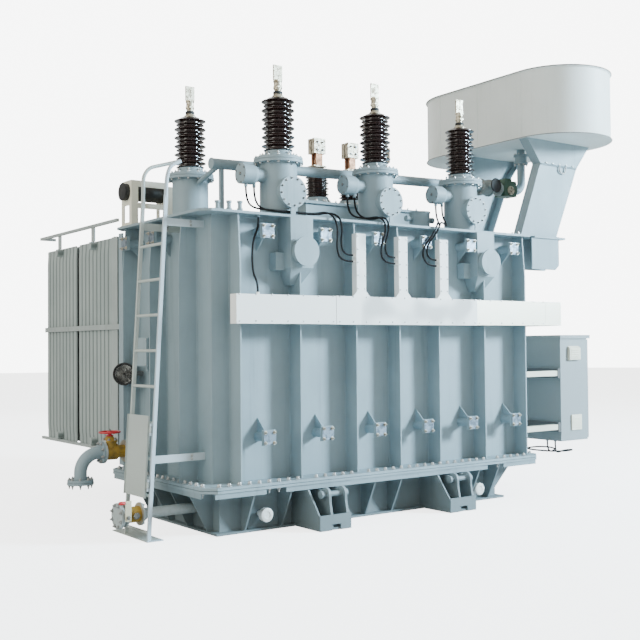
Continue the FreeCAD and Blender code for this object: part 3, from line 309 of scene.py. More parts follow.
# Tank: welded mild steel plate, a lower pan on a base plate and a bell over it, stiffened by flat bars.
# Blasted and sprayed with light grey enamel, which has weathered with thin run-off streaks.
def paint(name, base, shade, grime, rough=0.4, streaks=0.3):
    """Sprayed enamel: broad changes of tone, streaks that run down, painted shade that darkens the colour
    below the flange, and orange peel."""
    finish = Finish(name)
    place = finish.place()
    x, y, z = finish.split(place)
    tone = finish.noise(place, 1.4, 5.0, 0.6)
    runs = finish.noise(finish.stretch(place, (14.0, 14.0, 0.8)), 1.0, 5.0, 0.62)
    specks = finish.noise(place, 70.0, 3.0, 0.7)
    colour = finish.blend(tone.rise(0.36, 0.68), base, shade)
    colour = finish.blend(runs.rise(0.52, 0.78) * streaks, colour, grime)
    colour = finish.blend(specks.rise(0.66, 0.78) * 0.35, colour, grime)
    # Painted shade: below about 0.3 to 0.46 m the colour darkens towards half the grime colour, as under the
    # flange's overhang.
    painted_shade_below_flange = (1.0 - (z + 0.12 * tone).rise(0.30, 0.46)) * 0.55
    colour = finish.blend(painted_shade_below_flange, colour, tuple(0.5 * c for c in grime))
    finish.set(Base_Color=colour, Roughness=rough + 0.22 * tone + 0.1 * runs)
    return finish.bump(finish.noise(place, 420.0, 2.0) + 0.8 * finish.noise(place, 9.0), 0.0006).material


def dress(material, *nodes):
    """Gives carried-over nodes a finish."""
    for node in nodes:
        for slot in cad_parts[node].material_slots:
            slot.material = material


def piece(name, shape, material, body="transformer", stands_for=(), smooth=False):
    """One new piece from points and faces, riding a body."""
    points, faces = shape
    mesh = bpy.data.meshes.new(name)
    mesh.from_pydata(points.tolist(), [], [face for group in faces for face in group.tolist()])
    if smooth:
        mesh.polygons.foreach_set("use_smooth", np.ones(len(mesh.polygons), bool))
        mesh.set_sharp_from_angle(angle=math.radians(34))
    mesh.materials.append(material)
    made = bpy.data.objects.new(name, mesh)
    bpy.context.scene.collection.objects.link(made)
    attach(made, body)
    if stands_for:
        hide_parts(*stands_for)
    return made


def skin(rings):
    """Closed skin over a stack of rings: quads (i, j), (i, j+1), (i+1, j+1), (i+1, j), and a face at each
    end."""
    rows, steps = rings.shape[:2]
    cell = np.arange(rows * steps).reshape(rows, steps)
    after = np.roll(cell, -1, axis=1)
    quads = np.stack([cell[:-1], after[:-1], after[1:], cell[1:]], -1).reshape(-1, 4)
    return rings.reshape(-1, 3), [quads, cell[:1, ::-1], cell[-1:]]


def lathe(profile, steps=24, start=0.0):
    """Profile of radius r and height h turned about Z: (r cos t, r sin t, h)."""
    r, h = np.asarray(profile, float).T[:, :, None]
    t = start + np.linspace(0.0, 2 * np.pi, steps, endpoint=False)[None]
    return skin(np.stack([r * np.cos(t), r * np.sin(t), h + 0 * t], -1))


def joined(shapes):
    """Several shapes as one, with the later faces' numbers moved up."""
    points, faces, count = [], [], 0
    for shape_points, shape_faces in shapes:
        points.append(shape_points)
        faces += [group + count for group in shape_faces]
        count += len(shape_points)
    return np.concatenate(points), faces


def scatter(shape, spots, axis=(0, 0, 1)):
    """Copies of a shape: Z turned to the axis, then point = spot + turned point for every spot."""
    points, faces = shape
    turn = np.array(Vector(axis).to_track_quat("Z", "Y").to_matrix())
    spots = np.asarray(spots, float).reshape(-1, 3)
    moved = (spots[:, None] + (points @ turn.T)[None]).reshape(-1, 3)
    shift = len(points) * np.arange(len(spots))[:, None, None]
    return moved, [(group[None] + shift).reshape(-1, group.shape[1]) for group in faces]


def bolt(r, stud=0.0):
    """Washer, hexagon nut with a chamfered crown, and the end of its stud; r is half the nut's width over
    corners."""
    washer = lathe([(1.4 * r, 0), (1.4 * r, 0.2 * r), (0.9 * r, 0.2 * r)], 10)
    crown = [(r, 0.15 * r), (r, 0.95 * r), (0.82 * r, 1.15 * r), (0.5 * r, 1.15 * r)]
    if stud:
        crown += [(0.5 * r, 1.15 * r + stud), (0.3 * r, 1.3 * r + stud)]
    return joined([washer, lathe(crown, 6)])


def circle(centre, radius, count, axis="z", start=0.0):
    """Points round a centre in the plane across an axis: centre + radius (cos t, sin t)."""
    t = start + np.linspace(0.0, 2 * np.pi, count, endpoint=False)
    a, b, zero = radius * np.cos(t), radius * np.sin(t), np.zeros(count)
    spread = {"x": (zero, a, b), "y": (a, zero, b), "z": (a, b, zero)}[axis]
    return np.asarray(centre) + np.stack(spread, -1)


def run(start, end, pitch):
    """Evenly spaced points on a line, ends included."""
    start, end = np.asarray(start, float), np.asarray(end, float)
    count = max(2, int(round(np.linalg.norm(end - start) / pitch)) + 1)
    return start + np.linspace(0.0, 1.0, count)[:, None] * (end - start)


def bead(start, end, r=0.006):
    """Weld bead along a line: hexagon rings of radius r (1 + 0.15 sin 9i), so that it swells and narrows."""
    spots = run(start, end, 0.05)
    along = Vector(spots[-1] - spots[0])
    turn = np.array(along.to_track_quat("Z", "Y").to_matrix())
    t = np.linspace(0.0, 2 * np.pi, 6, endpoint=False)
    swell = r * (1.0 + 0.15 * np.sin(9.0 * np.arange(len(spots))))[:, None, None]
    section = np.stack([np.cos(t), np.sin(t), 0 * t], -1) @ turn.T
    return skin(spots[:, None] + swell * section[None])


def zinc(name, tint=(0.62, 0.62, 0.60), dull=(0.34, 0.34, 0.33), scale=120.0):
    """Zinc-coated steel: bright grey metal mottled with dull patches."""
    finish = Finish(name, Metallic=0.85)
    place = finish.place()
    mottle = finish.noise(place, scale, 3.0)
    finish.set(Base_Color=finish.blend(mottle.rise(0.38, 0.62), tint, dull), Roughness=0.32 + 0.3 * mottle)
    return finish.bump(finish.noise(place, 500.0), 0.0003).material


tank_grey = paint("tank_enamel", (0.264, 0.343, 0.375), (0.232, 0.303, 0.333), (0.12, 0.145, 0.14))
dress(tank_grey, "base_plate", "lower_tank_wall", "base_gussets", "lower_flange", "upper_flange",
      "jacking_boxes", "bell_wall", "side_ribs", "end_ribs", "cover", "lifting_trunnions", "fixing_stubs")
bolt_zinc = zinc("galvanised_bolts")

SIDE_RIBS_X = (-1.546, -0.926, -0.298, 0.225, 0.734, 1.360, 1.963)
END_RIBS_Y = (-0.438, 0.125, 0.690)
low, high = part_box("bell_wall")
welds = []
for edge in (-0.010, 0.010):
    feet = [(x + edge, side * (high.y + 0.002)) for x in SIDE_RIBS_X for side in (-1, 1)]
    feet += [(low.x - 0.002, y + edge) for y in END_RIBS_Y]
    welds += [bead((x, y, low.z + 0.03), (x, y, high.z - 0.005)) for x, y in feet]
for side in (-1, 1):
    welds.append(bead((low.x, side * high.y, high.z - 0.004), (high.x, side * high.y, high.z - 0.004), 0.009))
piece("bell_welds", joined(welds), tank_grey, smooth=True)

# Joint between the pan and the bell: studs with domed nuts above the flange and plain nuts below it,
# pitched at about 100 mm, and a black rubber gasket squeezed between the plates.
flange_low, flange_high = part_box("upper_flange")
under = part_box("lower_flange")[1].z - 0.022
BOLT_IN = 0.05
BOLT_PITCH = 0.1
x0, x1, y1 = flange_low.x + BOLT_IN, flange_high.x - BOLT_IN, flange_high.y - BOLT_IN
cut = 0.10
sides = [run((x0 + cut, y, 0), (x1 - cut, y, 0), BOLT_PITCH) for y in (-y1, y1)]
sides += [run((x, -y1 + cut, 0), (x, y1 - cut, 0), BOLT_PITCH) for x in (x0, x1)]
spots = np.concatenate(sides)
clear = (np.abs(spots[:, 0, None] - np.array(SIDE_RIBS_X)) > 0.03).all(1)
spots = spots[clear | (np.abs(spots[:, 1]) < 0.8)]
dome = lathe([(0.023, 0), (0.023, 0.004), (0.016, 0.004), (0.016, 0.016), (0.012, 0.025), (0.005, 0.029)], 8)
piece("flange_nuts", scatter(dome, spots + (0, 0, flange_high.z)), bolt_zinc, smooth=True)
piece("flange_studs", scatter(bolt(0.017, 0.022), spots + (0, 0, under), (0, 0, -1)), bolt_zinc)


def moulded_rubber():
    """Moulded black rubber, a little grey where dust has stuck."""
    finish = Finish("gasket_rubber")
    dust = finish.noise(finish.place(), 14.0, 4.0)
    colour = finish.blend(dust.rise(0.5, 0.8), (0.012, 0.012, 0.012), (0.05, 0.05, 0.048))
    finish.set(Base_Color=colour, Roughness=0.55 + 0.3 * dust)
    return finish.bump(finish.noise(finish.place(), 300.0), 0.0004).material


black_rubber = moulded_rubber()
dress(black_rubber, "flange_gasket")


# Oil-sampling valves low on the pan: turned bodies screwed into the wall, each under a white moulded cap with
# a dished face and a thick rim to grip.
def plastic(name, base, aged, rough=0.35):
    """Moulded plastic: even colour that has yellowed in patches."""
    finish = Finish(name)
    patch = finish.noise(finish.place(), 12.0, 4.0)
    finish.set(Base_Color=finish.blend(patch.rise(0.4, 0.75), base, aged), Roughness=rough + 0.2 * patch)
    return finish.bump(finish.noise(finish.place(), 350.0), 0.0003).material


cap_white = plastic("cap_plastic", (0.80, 0.80, 0.78), (0.66, 0.64, 0.57))
dress(cap_white, "drain_plugs")
grip = lathe([(0.050, 0), (0.060, 0.004), (0.060, 0.026), (0.050, 0.031), (0.030, 0.031), (0.026, 0.026)], 32)
piece("drain_caps", scatter(grip, [(-1.263, -0.803, 0.142), (1.309, -0.803, 0.129)], (0, -1, 0)), cap_white,
      smooth=True)

# Core-fixing ports: dull zinc blanks bolted over short tubes along the front and the back, and two on the
# left end, with a brass-washered bolt at each corner.
PORTS_X = (-1.273, -0.652, -0.037, 0.564, 1.165, 1.787)
PORTS_Z = (0.813, 2.597)
END_PORTS_Y = (0.610, 0.045)
faces = [((x, side * 0.896, z), "y", (0, side, 0)) for side in (-1, 1) for x in PORTS_X for z in PORTS_Z]
faces += [((-1.925, y, 2.584), "x", (-1, 0, 0)) for y in END_PORTS_Y]
blank = lathe([(0.086, 0), (0.086, 0.0008), (0.064, 0.0008), (0.058, 0.0003)], 4, math.pi / 4)
blanks = [scatter(blank, centre, out) for centre, axis, out in faces]
stub_bolts = [scatter(bolt(0.0125, 0.012), circle(centre, 0.064, 4, axis, math.pi / 4), out)
              for centre, axis, out in faces]
blank_zinc = zinc("blank_zinc", (0.22, 0.27, 0.32), (0.10, 0.125, 0.15), 24.0)
piece("stub_blanks", joined(blanks), blank_zinc)
piece("stub_bolts", joined(stub_bolts), zinc("plated_bolts", (0.62, 0.56, 0.44)))


# Lifting trunnions: boxes of welded plate on the bell, each with a turned bollard that takes the slings. A
# weld bead runs where the end disc meets the bollard.
def ring_bead(ring, out, along, size):
    """Bead round a closed ring: at each point, six more at size (cos t) outwards + size (sin t) along."""
    t = np.linspace(0.0, 2 * np.pi, 6, endpoint=False)[None, :, None]
    loop = ring[:, None] + size * (np.cos(t) * out[:, None] + np.sin(t) * np.array(along))
    return skin(np.concatenate([loop, loop[:1]]))


outwards = circle((0.0, 0.0, 0.0), 1.0, 40, "y")
rings = [ring_bead(circle((x, side * 0.9665, 2.430), 0.112, 40, "y"), outwards, (0, 1, 0), 0.006)
         for side in (-1, 1) for x in (-0.926, 1.360)]
piece("trunnion_welds", joined(rings), tank_grey, smooth=True)


# Cable tray: folded stainless covers on the ribs, brushed lengthways at the right end; the rest and the
# ducts are enamelled nearly white. Small round-headed screws hold the covers.
def brushed(name, metal, pale, split_x):
    """Brushed steel to the right of split_x and white enamel to the left, with long fine scratches; soft grey
    patches of painted reflection lie on the white from x = -0.33 on.
    """
    finish = Finish(name)
    place = finish.place()
    x, y, z = finish.split(place)
    painted = 1.0 - x.rise(split_x - 0.002, split_x + 0.002)
    grain = finish.noise(finish.stretch(place, (3.0, 3.0, 260.0)), 1.0, 4.0, 0.7)
    cloud = finish.noise(place, 2.2, 1.0)
    steel = finish.blend(grain, metal, tuple(0.72 * c for c in metal))
    # Painted reflection: soft grey patches darken the white enamel from x = -0.33 on.
    painted_reflection = cloud.rise(0.5, 0.66) * x.rise(-0.33, -0.32)
    white = finish.blend(painted_reflection, pale, tuple(0.62 * c for c in pale))
    finish.set(Base_Color=finish.blend(painted, steel, white))
    finish.set(Metallic=0.75 - 0.75 * painted, Roughness=0.34 + 0.16 * grain + 0.08 * painted)
    return finish.bump(grain, 0.0003).material


tray_steel = brushed("tray_covers", (0.86, 0.80, 0.66), (0.93, 0.92, 0.88), 1.154)
dress(tray_steel, "cable_tray", "tray_risers")
screw = lathe([(0.008, 0), (0.008, 0.002), (0.006, 0.0045), (0.003, 0.005)], 8)
tray_low, tray_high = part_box("cable_tray")
screws = []
for start, end, face in ((-1.62, -0.64, -0.9765), (-0.57, 1.12, -0.9795), (1.19, 2.13, -0.9765)):
    for z in (tray_low.z + 0.022, tray_high.z - 0.022):
        screws.append(run((start, face, z), (end, face, z), 0.16))
for x in (-0.294, 0.212, 0.738):
    for edge in (-0.04, 0.04):
        screws.append(run((x + edge, -0.9465, 2.12), (x + edge, -0.9465, 2.60), 0.12))
piece("tray_screws", scatter(screw, np.concatenate(screws), (0, -1, 0)), bolt_zinc, smooth=True)


# Turrets: rolled steel tubes with a bolted blank facing the front and a terminal housing at the side,
# under two clamped flange plates. Paint as on the tank; zinc-plated bolts throughout.
dress(tank_grey, "turrets", "lv_turret")
HV_X = (-1.000, 0.128, 1.260)
HV_Y = -0.646
LV_X = (0.151, 0.593, 1.035)
LV_Y = 0.350
flange_centres = [(x, HV_Y, 3.289) for x in HV_X] + [(-1.407, 0.254, 3.232)]
tops = np.concatenate([circle(centre, 0.205, 14, "z", 0.1) for centre in flange_centres])
hole_bolts = np.concatenate([circle((x, -0.886, 2.960), 0.122, 12, "y", 0.13) for x in HV_X])
turret_zinc = zinc("weathered_bolts", (0.40, 0.41, 0.40))
piece("turret_flange_nuts", scatter(bolt(0.012, 0.004), tops), turret_zinc)
bottoms = tops - (0, 0, 0.052)
piece("turret_flange_heads", scatter(bolt(0.012), bottoms, (0, 0, -1)), turret_zinc)
dark_bolt = zinc("dulled_bolts", (0.16, 0.165, 0.16))
piece("hand_hole_bolts", scatter(bolt(0.009, 0.004), hole_bolts, (0, -1, 0)), dark_bolt)
plug = lathe([(0.014, 0), (0.014, 0.007), (0.010, 0.010), (0.004, 0.010)], 16)
housing_ends = [(x - 0.400, HV_Y, 3.120) for x in HV_X]
plugs = [scatter(plug, housing_ends, (-1, 0, 0))]
plugs += [scatter(bolt(0.007), circle(end, 0.078, 6, "x", 0.4), (-1, 0, 0)) for end in housing_ends]
piece("housing_plugs", joined(plugs), dark_bolt)
lid = [run((-0.15, y, 3.078), (1.33, y, 3.078), 0.12) for y in (0.116, 0.584)]
lid += [run((x, 0.22, 3.078), (x, 0.49, 3.078), 0.12) for x in (-0.163, 1.343)]
lid += [circle((x, LV_Y, 3.100), 0.140, 10, "z", 0.2) for x in LV_X]
piece("lv_lid_bolts", scatter(bolt(0.012, 0.008), np.concatenate(lid)), bolt_zinc)


# Bushings: porcelain turned and fired in one piece, with large and small sheds in turn, dark brown glaze,
# held down on a metal foot.
def sheds(height, count, big, small, core):
    """Shed profile turned about Z. In each pitch the radius swells twice, to the small and then to the large
    shed, with a short hollow underside and a long sloping top."""
    part = np.array([0.02, 0.06, 0.10, 0.135, 0.165, 0.205, 0.28, 0.36, 0.46, 0.515, 0.55, 0.575, 0.60, 0.635,
                     0.68, 0.78, 0.88, 0.96])
    swell_small = np.array([0, 0.40, 0.85, 1, 1, 0.78, 0.28] + [0] * 11)
    swell_big = np.array([0] * 9 + [0.28, 0.72, 0.93, 1, 1, 0.88, 0.46, 0.14, 0])
    radius = core + (small - core) * swell_small + (big - core) * swell_big
    h = (np.arange(count)[:, None] + part[None]).ravel() * height / count
    return lathe(np.stack([np.tile(radius, count), h], -1), 56)


def glaze():
    """Brown salt-glazed porcelain: wet shine over a mottled body, with dust in patches."""
    finish = Finish("brown_glaze")
    place = finish.place()
    mottle = finish.noise(place, 26.0, 5.0, 0.65)
    colour = finish.blend(mottle.rise(0.3, 0.7), (0.019, 0.011, 0.010), (0.030, 0.016, 0.014))
    dust = finish.noise(place, 7.0, 4.0)
    colour = finish.blend(dust.rise(0.6, 0.9) * 0.2, colour, (0.12, 0.11, 0.10))
    finish.set(Base_Color=colour, Roughness=0.2 + 0.2 * dust.rise(0.5, 0.9))
    finish.set(Coat_Weight=0.3, Coat_Roughness=0.1)
    return finish.bump(finish.noise(place, 22.0), 0.0003).material


brown_glaze = glaze()
HV_HEIGHT = 0.484
tall = sheds(HV_HEIGHT, 6, 0.149, 0.132, 0.097)
feet = np.array([(x, HV_Y, 3.349) for x in HV_X] + [(-1.407, 0.254, 3.292)])
piece("hv_porcelain", scatter(tall, feet), brown_glaze, stands_for=("hv_bushings",), smooth=True)
short = sheds(0.300, 5, 0.124, 0.114, 0.096)
piece("lv_porcelain", scatter(short, [(x, LV_Y, 3.150) for x in LV_X]), brown_glaze,
      stands_for=("lv_bushings",), smooth=True)


# Terminals: cast brass palms on stems, clamped above a black sealing ring and a collar. The short bushings
# carry two thick palms each on copper bars, with the bolts left in.
def brass():
    """Weathered brass under a brown film that gathers in patches; the low-voltage clamps' bars are copper."""
    finish = Finish("weathered_brass", Metallic=0.8)
    place = finish.place()
    film = finish.noise(place, 34.0, 5.0, 0.65)
    x, y, z = finish.split(place)
    yellow = finish.blend(film.rise(0.48, 0.62), (0.60, 0.54, 0.42), (0.20, 0.16, 0.11))
    copper = finish.blend(film.rise(0.4, 0.7), (0.46, 0.24, 0.14), (0.24, 0.13, 0.08))
    bars = y.rise(0.05, 0.06) * (z.rise(3.488, 3.492) - z.rise(3.613, 3.617))
    finish.set(Base_Color=finish.blend(bars, yellow, copper), Roughness=0.36 + 0.3 * film)
    return finish.bump(finish.noise(place, 260.0), 0.0004).material


palm_brass = brass()
dress(palm_brass, "bushing_terminals")
seal = lathe([(0.034, 0), (0.041, 0.003), (0.043, 0.010), (0.043, 0.020), (0.041, 0.027), (0.034, 0.030)], 28)
collar = lathe([(0.060, 0), (0.062, 0.004), (0.062, 0.012), (0.058, 0.016), (0.040, 0.036), (0.034, 0.036)],
               28)
clamp = lathe([(0.040, 0), (0.046, 0.004), (0.046, 0.018), (0.040, 0.022)], 6)
heads = feet + (0, 0, HV_HEIGHT)
piece("terminal_seals", scatter(seal, heads + (0, 0, 0.036)), black_rubber, smooth=True)
collars = [scatter(collar, heads)] + [scatter(clamp, heads + (0, 0, up)) for up in (0.090, 0.150)]
piece("terminal_collars", joined(collars), palm_brass, smooth=True)
foot_bolts = np.concatenate([circle(foot - (0, 0, 0.026), 0.140, 8, "z", 0.2) for foot in feet])
piece("bushing_foot_bolts", scatter(bolt(0.010, 0.006), foot_bolts), turret_zinc)
palm_bolts = np.array([(x + dx, 0.0, z) for x in LV_X for dx in (-0.032, 0.032) for z in (3.655, 3.735)])
lv_clamps = [scatter(bolt(0.011, 0.008), palm_bolts + (0, y, 0), (0, out, 0))
             for y, out in ((0.292, -1), (0.408, 1))]
piece("lv_palm_bolts", joined(lv_clamps), bolt_zinc)

# Gas pipe, relay and conservator line: welded pipe with bolted flanges, a green cast relay with a glass
# window, and black valve handwheels.
dress(tank_grey, "gas_pipe", "relief_pot", "relay_pipe")
relay_green = paint("relay_enamel", (0.055, 0.115, 0.075), (0.040, 0.085, 0.058), (0.03, 0.04, 0.03), 0.35)
dress(relay_green, "gas_relay")
dress(paint("relay_valve_enamel", (0.30, 0.33, 0.32), (0.25, 0.28, 0.27), (0.10, 0.11, 0.10)), "relay_valve")
pipe_bolt = bolt(0.010, 0.008)
pipe_bolts = []
for x, r, out in ((1.882, 0.082, -1), (2.042, 0.082, 1), (2.190, 0.066, -1), (2.412, 0.066, 1)):
    pipe_bolts.append(scatter(pipe_bolt, circle((x, -0.300, 3.334), r, 8, "x", 0.4), (out, 0, 0)))
for z, out in ((3.650, -1), (3.756, 1)):
    pipe_bolts.append(scatter(pipe_bolt, circle((2.560, -0.300, z), 0.070, 8, "z", 0.4), (0, 0, out)))
piece("relay_line_bolts", joined(pipe_bolts), bolt_zinc)
knob = lathe([(0.020, 0), (0.036, 0.004), (0.074, 0.006), (0.080, 0.014), (0.074, 0.022), (0.030, 0.024),
              (0.012, 0.034)], 28)
piece("relay_valve_knob", scatter(knob, [(1.962, -0.470, 3.334)], (0, -1, 0)), black_rubber,
      smooth=True)
window = lathe([(0.034, 0), (0.050, 0), (0.050, 0.010), (0.040, 0.014), (0.036, 0.008), (0.010, 0.008)], 32)
piece("relay_window", scatter(window, [(2.301, -0.378, 3.320)], (0, -1, 0)), palm_brass,
      smooth=True)

# Conservator: rolled steel oval drum with flanged ends on two spread channel posts. Pale enamel, cleaner than
# the tank, with weld seams up each side, and a thin dark bead round the top and bottom rims.
drum = paint("conservator_enamel", (0.76, 0.79, 0.76), (0.70, 0.73, 0.70), (0.40, 0.42, 0.40), 0.38, 0.18)
dress(drum, "conservator_shell", "conservator_ends")
dress(tank_grey, "conservator_legs", "conservator_shelf")
DRUM_X = 2.645
DRUM_ENDS_Y = (-0.760, 0.507)


def oval_bead(r, z, size):
    """Bead round the drum: a ring of six points carried along the oval r (cos t, sin t), whose two halves
    stand at the centres of the drum's round ends."""
    t = np.linspace(0.0, 2 * np.pi, 97)[:-1]
    out = np.stack([np.cos(t), np.sin(t), 0 * t], -1)
    centre = np.stack([DRUM_X + 0 * t, np.where(np.sin(t) < 0, *DRUM_ENDS_Y), z + 0 * t], -1)
    return ring_bead(centre + r * out, out, (0, 0, 1), size)


seams = [bead((x, y, 3.83), (x, y, 4.53)) for x in (2.069, 3.221) for y in (-0.76, -0.1, 0.507)]
seams += [oval_bead(0.578, z, 0.007) for z in (3.828, 4.532)]
piece("conservator_welds", joined(seams), drum, smooth=True)
drum_low, drum_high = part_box("conservator_ends")
rims = [oval_bead(0.588, drum_high.z - 0.004, 0.0055), oval_bead(0.588, drum_low.z + 0.005, 0.004)]
piece("conservator_rim", joined(rims), dark_bolt, smooth=True)
post_bolts = [(x, y, 2.767) for x in (1.948, 2.545) for y in (-0.81, -0.72, 0.17, 0.26)]
piece("post_foot_bolts", scatter(bolt(0.014, 0.012), post_bolts), bolt_zinc)


# Control cabinet: folded sheet, powder coated pale grey, hung on cream arms from channels coated dark as
# painted shade inside them, with cream vent covers pressed into louvres.
def powder(name, base, shade):
    """Powder coat: nearly even colour with a fine leathery grain and a little grime."""
    finish = Finish(name)
    place = finish.place()
    tone = finish.noise(place, 2.0, 4.0)
    finish.set(Base_Color=finish.blend(tone.rise(0.35, 0.72), base, shade), Roughness=0.45 + 0.15 * tone)
    return finish.bump(finish.noise(place, 520.0, 3.0), 0.0005).material


cabinet_coat = powder("cabinet_coat", (0.25, 0.285, 0.295), (0.25, 0.285, 0.295))
cream = powder("cream_coat", (0.78, 0.75, 0.62), (0.68, 0.65, 0.53))
# Painted shade: the channels are coated dark to stand for the shade inside their sections.
channel_painted_shade = powder("channel_shade_coat", (0.10, 0.105, 0.105), (0.07, 0.075, 0.075))
dress(cabinet_coat, "cabinet_body", "cabinet_door")
dress(cream, "cabinet_trim", "cabinet_arms")
dress(channel_painted_shade, "cabinet_channels")


def block(low, high, r=0.002):
    """Box with rounded edges: four rings of a rounded oblong, drawn in by r at the bottom and the top."""
    low, high = np.asarray(low, float), np.asarray(high, float)
    t = np.linspace(0.0, 2 * np.pi, 12, endpoint=False) + np.pi / 12
    way = np.stack([np.cos(t), np.sin(t)], -1)
    corner = np.where(way > 0, high[:2] - r, low[:2] + r)
    rows = [(0.0, low[2]), (r, low[2] + r), (r, high[2] - r), (0.0, high[2])]
    return skin(np.stack([np.column_stack([corner + grow * way, np.full(12, z)]) for grow, z in rows]))


louvres = [block((2.832, -0.763, z), (2.978, -0.754, z + 0.008)) for z in np.arange(1.435, 1.530, 0.022)]
louvres += [block((2.876, -0.742, z), (3.002, -0.735, z + 0.006)) for z in np.arange(0.660, 0.780, 0.020)]
piece("vent_louvres", joined(louvres), cream)
arm_bolts = []
for y, out in ((-0.711, -1), (-0.120, 1)):
    pairs = [(2.06, y, z + dz) for z in (1.270, 0.675) for dz in (-0.016, 0.016)]
    arm_bolts.append(scatter(bolt(0.010, 0.006), pairs, (0, out, 0)))
piece("arm_bolts", joined(arm_bolts), bolt_zinc)
door_low, door_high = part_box("cabinet_door")
ribs = [block((3.1635, door_low.y + 0.06, z), (3.1685, door_high.y - 0.06, z + 0.012)) for z in (0.62, 1.56)]
ribs += [block((3.1635, y, 0.62), (3.1685, y + 0.012, 1.572)) for y in (-0.655, -0.080)]
piece("door_pressing", joined(ribs), cabinet_coat, body="cabinet_door")


# Waist joint of the front post: two flats bolted together across the web, with a forged shackle left on it
# for lifting the drum.
def tube(path, r, sides=12):
    """Round section carried along a path: each ring lies across the local direction, which is the difference
    of the neighbouring points."""
    path = np.asarray(path, float)
    along = np.gradient(path, axis=0)
    along /= np.linalg.norm(along, axis=1)[:, None]
    guide = np.array([0.0, 0.0, 1.0]) if np.abs(along[:, 2]).mean() < 0.9 else np.array([1.0, 0.0, 0.0])
    side = np.cross(along, guide)
    side /= np.linalg.norm(side, axis=1)[:, None]
    lift = np.cross(side, along)
    t = np.linspace(0.0, 2 * np.pi, sides, endpoint=False)[None, :, None]
    radius = np.broadcast_to(np.asarray(r, float), len(path))[:, None, None]
    return skin(path[:, None] - radius * (np.cos(t) * side[:, None] - np.sin(t) * lift[:, None]))


seam = [block((2.285, -0.848, z), (2.868, -0.8365, z + 0.007)) for z in (3.542, 3.552)]
piece("post_seam", joined(seam), tank_grey)
seam_bolts = run((2.36, -0.845, 3.560), (2.80, -0.845, 3.560), 0.11)
piece("post_seam_bolts", scatter(bolt(0.009, 0.006), seam_bolts), bolt_zinc)
t = np.linspace(0.15 * np.pi, -1.15 * np.pi, 22)
bow = np.stack([2.62 + 0.052 * np.cos(t), -0.852 + 0 * t, 3.522 + 0.052 * np.sin(t)], -1)
piece("post_shackle", tube(bow, 0.008, 8), bolt_zinc, smooth=True)


# Ladder: cream-white enamel on flat rails and round rungs, with painted cool light that makes the near rail
# bluer. The gate is a powder-coated sheet on pins, with black rubber buffers up its hinge side.
def lit_near_rail_enamel(name, far, near, split_y):
    """Enamel that turns from the far colour to the near one across a place in Y, with scuffs; the bluer near
    colour is painted light.
    """
    finish = Finish(name)
    place = finish.place()
    x, y, z = finish.split(place)
    scuff = finish.noise(finish.stretch(place, (6.0, 6.0, 1.5)), 1.0, 5.0, 0.65)
    # Painted light: in front of split_y the near rail takes the bluer near colour.
    colour = finish.blend(y.rise(split_y - 0.004, split_y + 0.004), near, far)
    colour = finish.blend(scuff.rise(0.55, 0.8) * 0.5, colour, tuple(0.6 * c for c in far))
    finish.set(Base_Color=colour, Roughness=0.36 + 0.25 * scuff)
    return finish.bump(finish.noise(place, 420.0, 3.0), 0.0005).material


dress(lit_near_rail_enamel("ladder_enamel", (0.42, 0.46, 0.43), (0.46, 0.54, 0.59), -0.580), "ladder")
gate_coat = powder("gate_coat", (0.44, 0.49, 0.46), (0.40, 0.44, 0.42))
dress(gate_coat, "ladder_gate")
FOOT_X, TOP_X, RAIL_Z = -2.272, -2.122, 2.5
GATE_FACE = 0.032
lean = np.array([TOP_X - FOOT_X, 0.0, RAIL_Z]) / math.hypot(TOP_X - FOOT_X, RAIL_Z)
outward = np.array([-lean[2], 0.0, lean[0]])


def on_gate(y, z):
    """Point on the gate's face: foot + lean (z / lean's z) + outward times the face's distance."""
    return np.array([FOOT_X, y, 0.0]) + lean * (z / lean[2]) + outward * GATE_FACE


button = lathe([(0.0075, 0), (0.0075, 0.003), (0.005, 0.006), (0.002, 0.006)], 12)
dots = [on_gate(-0.551, z) for z in (0.40, 0.52, 0.58, 0.70, 0.82, 0.98)]
piece("gate_buffers", scatter(button, dots, outward), black_rubber, body="ladder_gate",
      smooth=True)
brackets = ((-0.593, 0.665), (-0.593, 2.655), (-0.160, 2.655))
bracket_bolts = [(-1.86, y + 0.012, z + dz) for y, z in brackets for dz in (-0.014, 0.014)]
piece("ladder_bracket_bolts", scatter(bolt(0.009, 0.006), bracket_bolts, (0, -1, 0)), bolt_zinc)


# Drain and filling valves at the left end: ochre-painted iron castings between grey pipe flanges, with
# zinc bolts, a red wheel with a channelled rim, and a cream lever with a red dipped grip.
def casting(name, x_left, x_right):
    """Ochre enamel on a rough sand casting between two places along X, tank grey outside them."""
    finish = Finish(name)
    place = finish.place()
    x, y, z = finish.split(place)
    middle = x.rise(x_left - 0.001, x_left + 0.001) - x.rise(x_right - 0.001, x_right + 0.001)
    patch = finish.noise(place, 16.0, 5.0, 0.65)
    ochre = finish.blend(patch.rise(0.35, 0.75), (0.36, 0.215, 0.022), (0.17, 0.105, 0.02))
    grey = finish.blend(patch.rise(0.4, 0.7), (0.40, 0.45, 0.45), (0.33, 0.37, 0.36))
    finish.set(Base_Color=finish.blend(middle, grey, ochre), Roughness=0.38 + 0.3 * patch)
    return finish.bump(finish.noise(place, 130.0, 4.0, 0.7), 0.0016).material


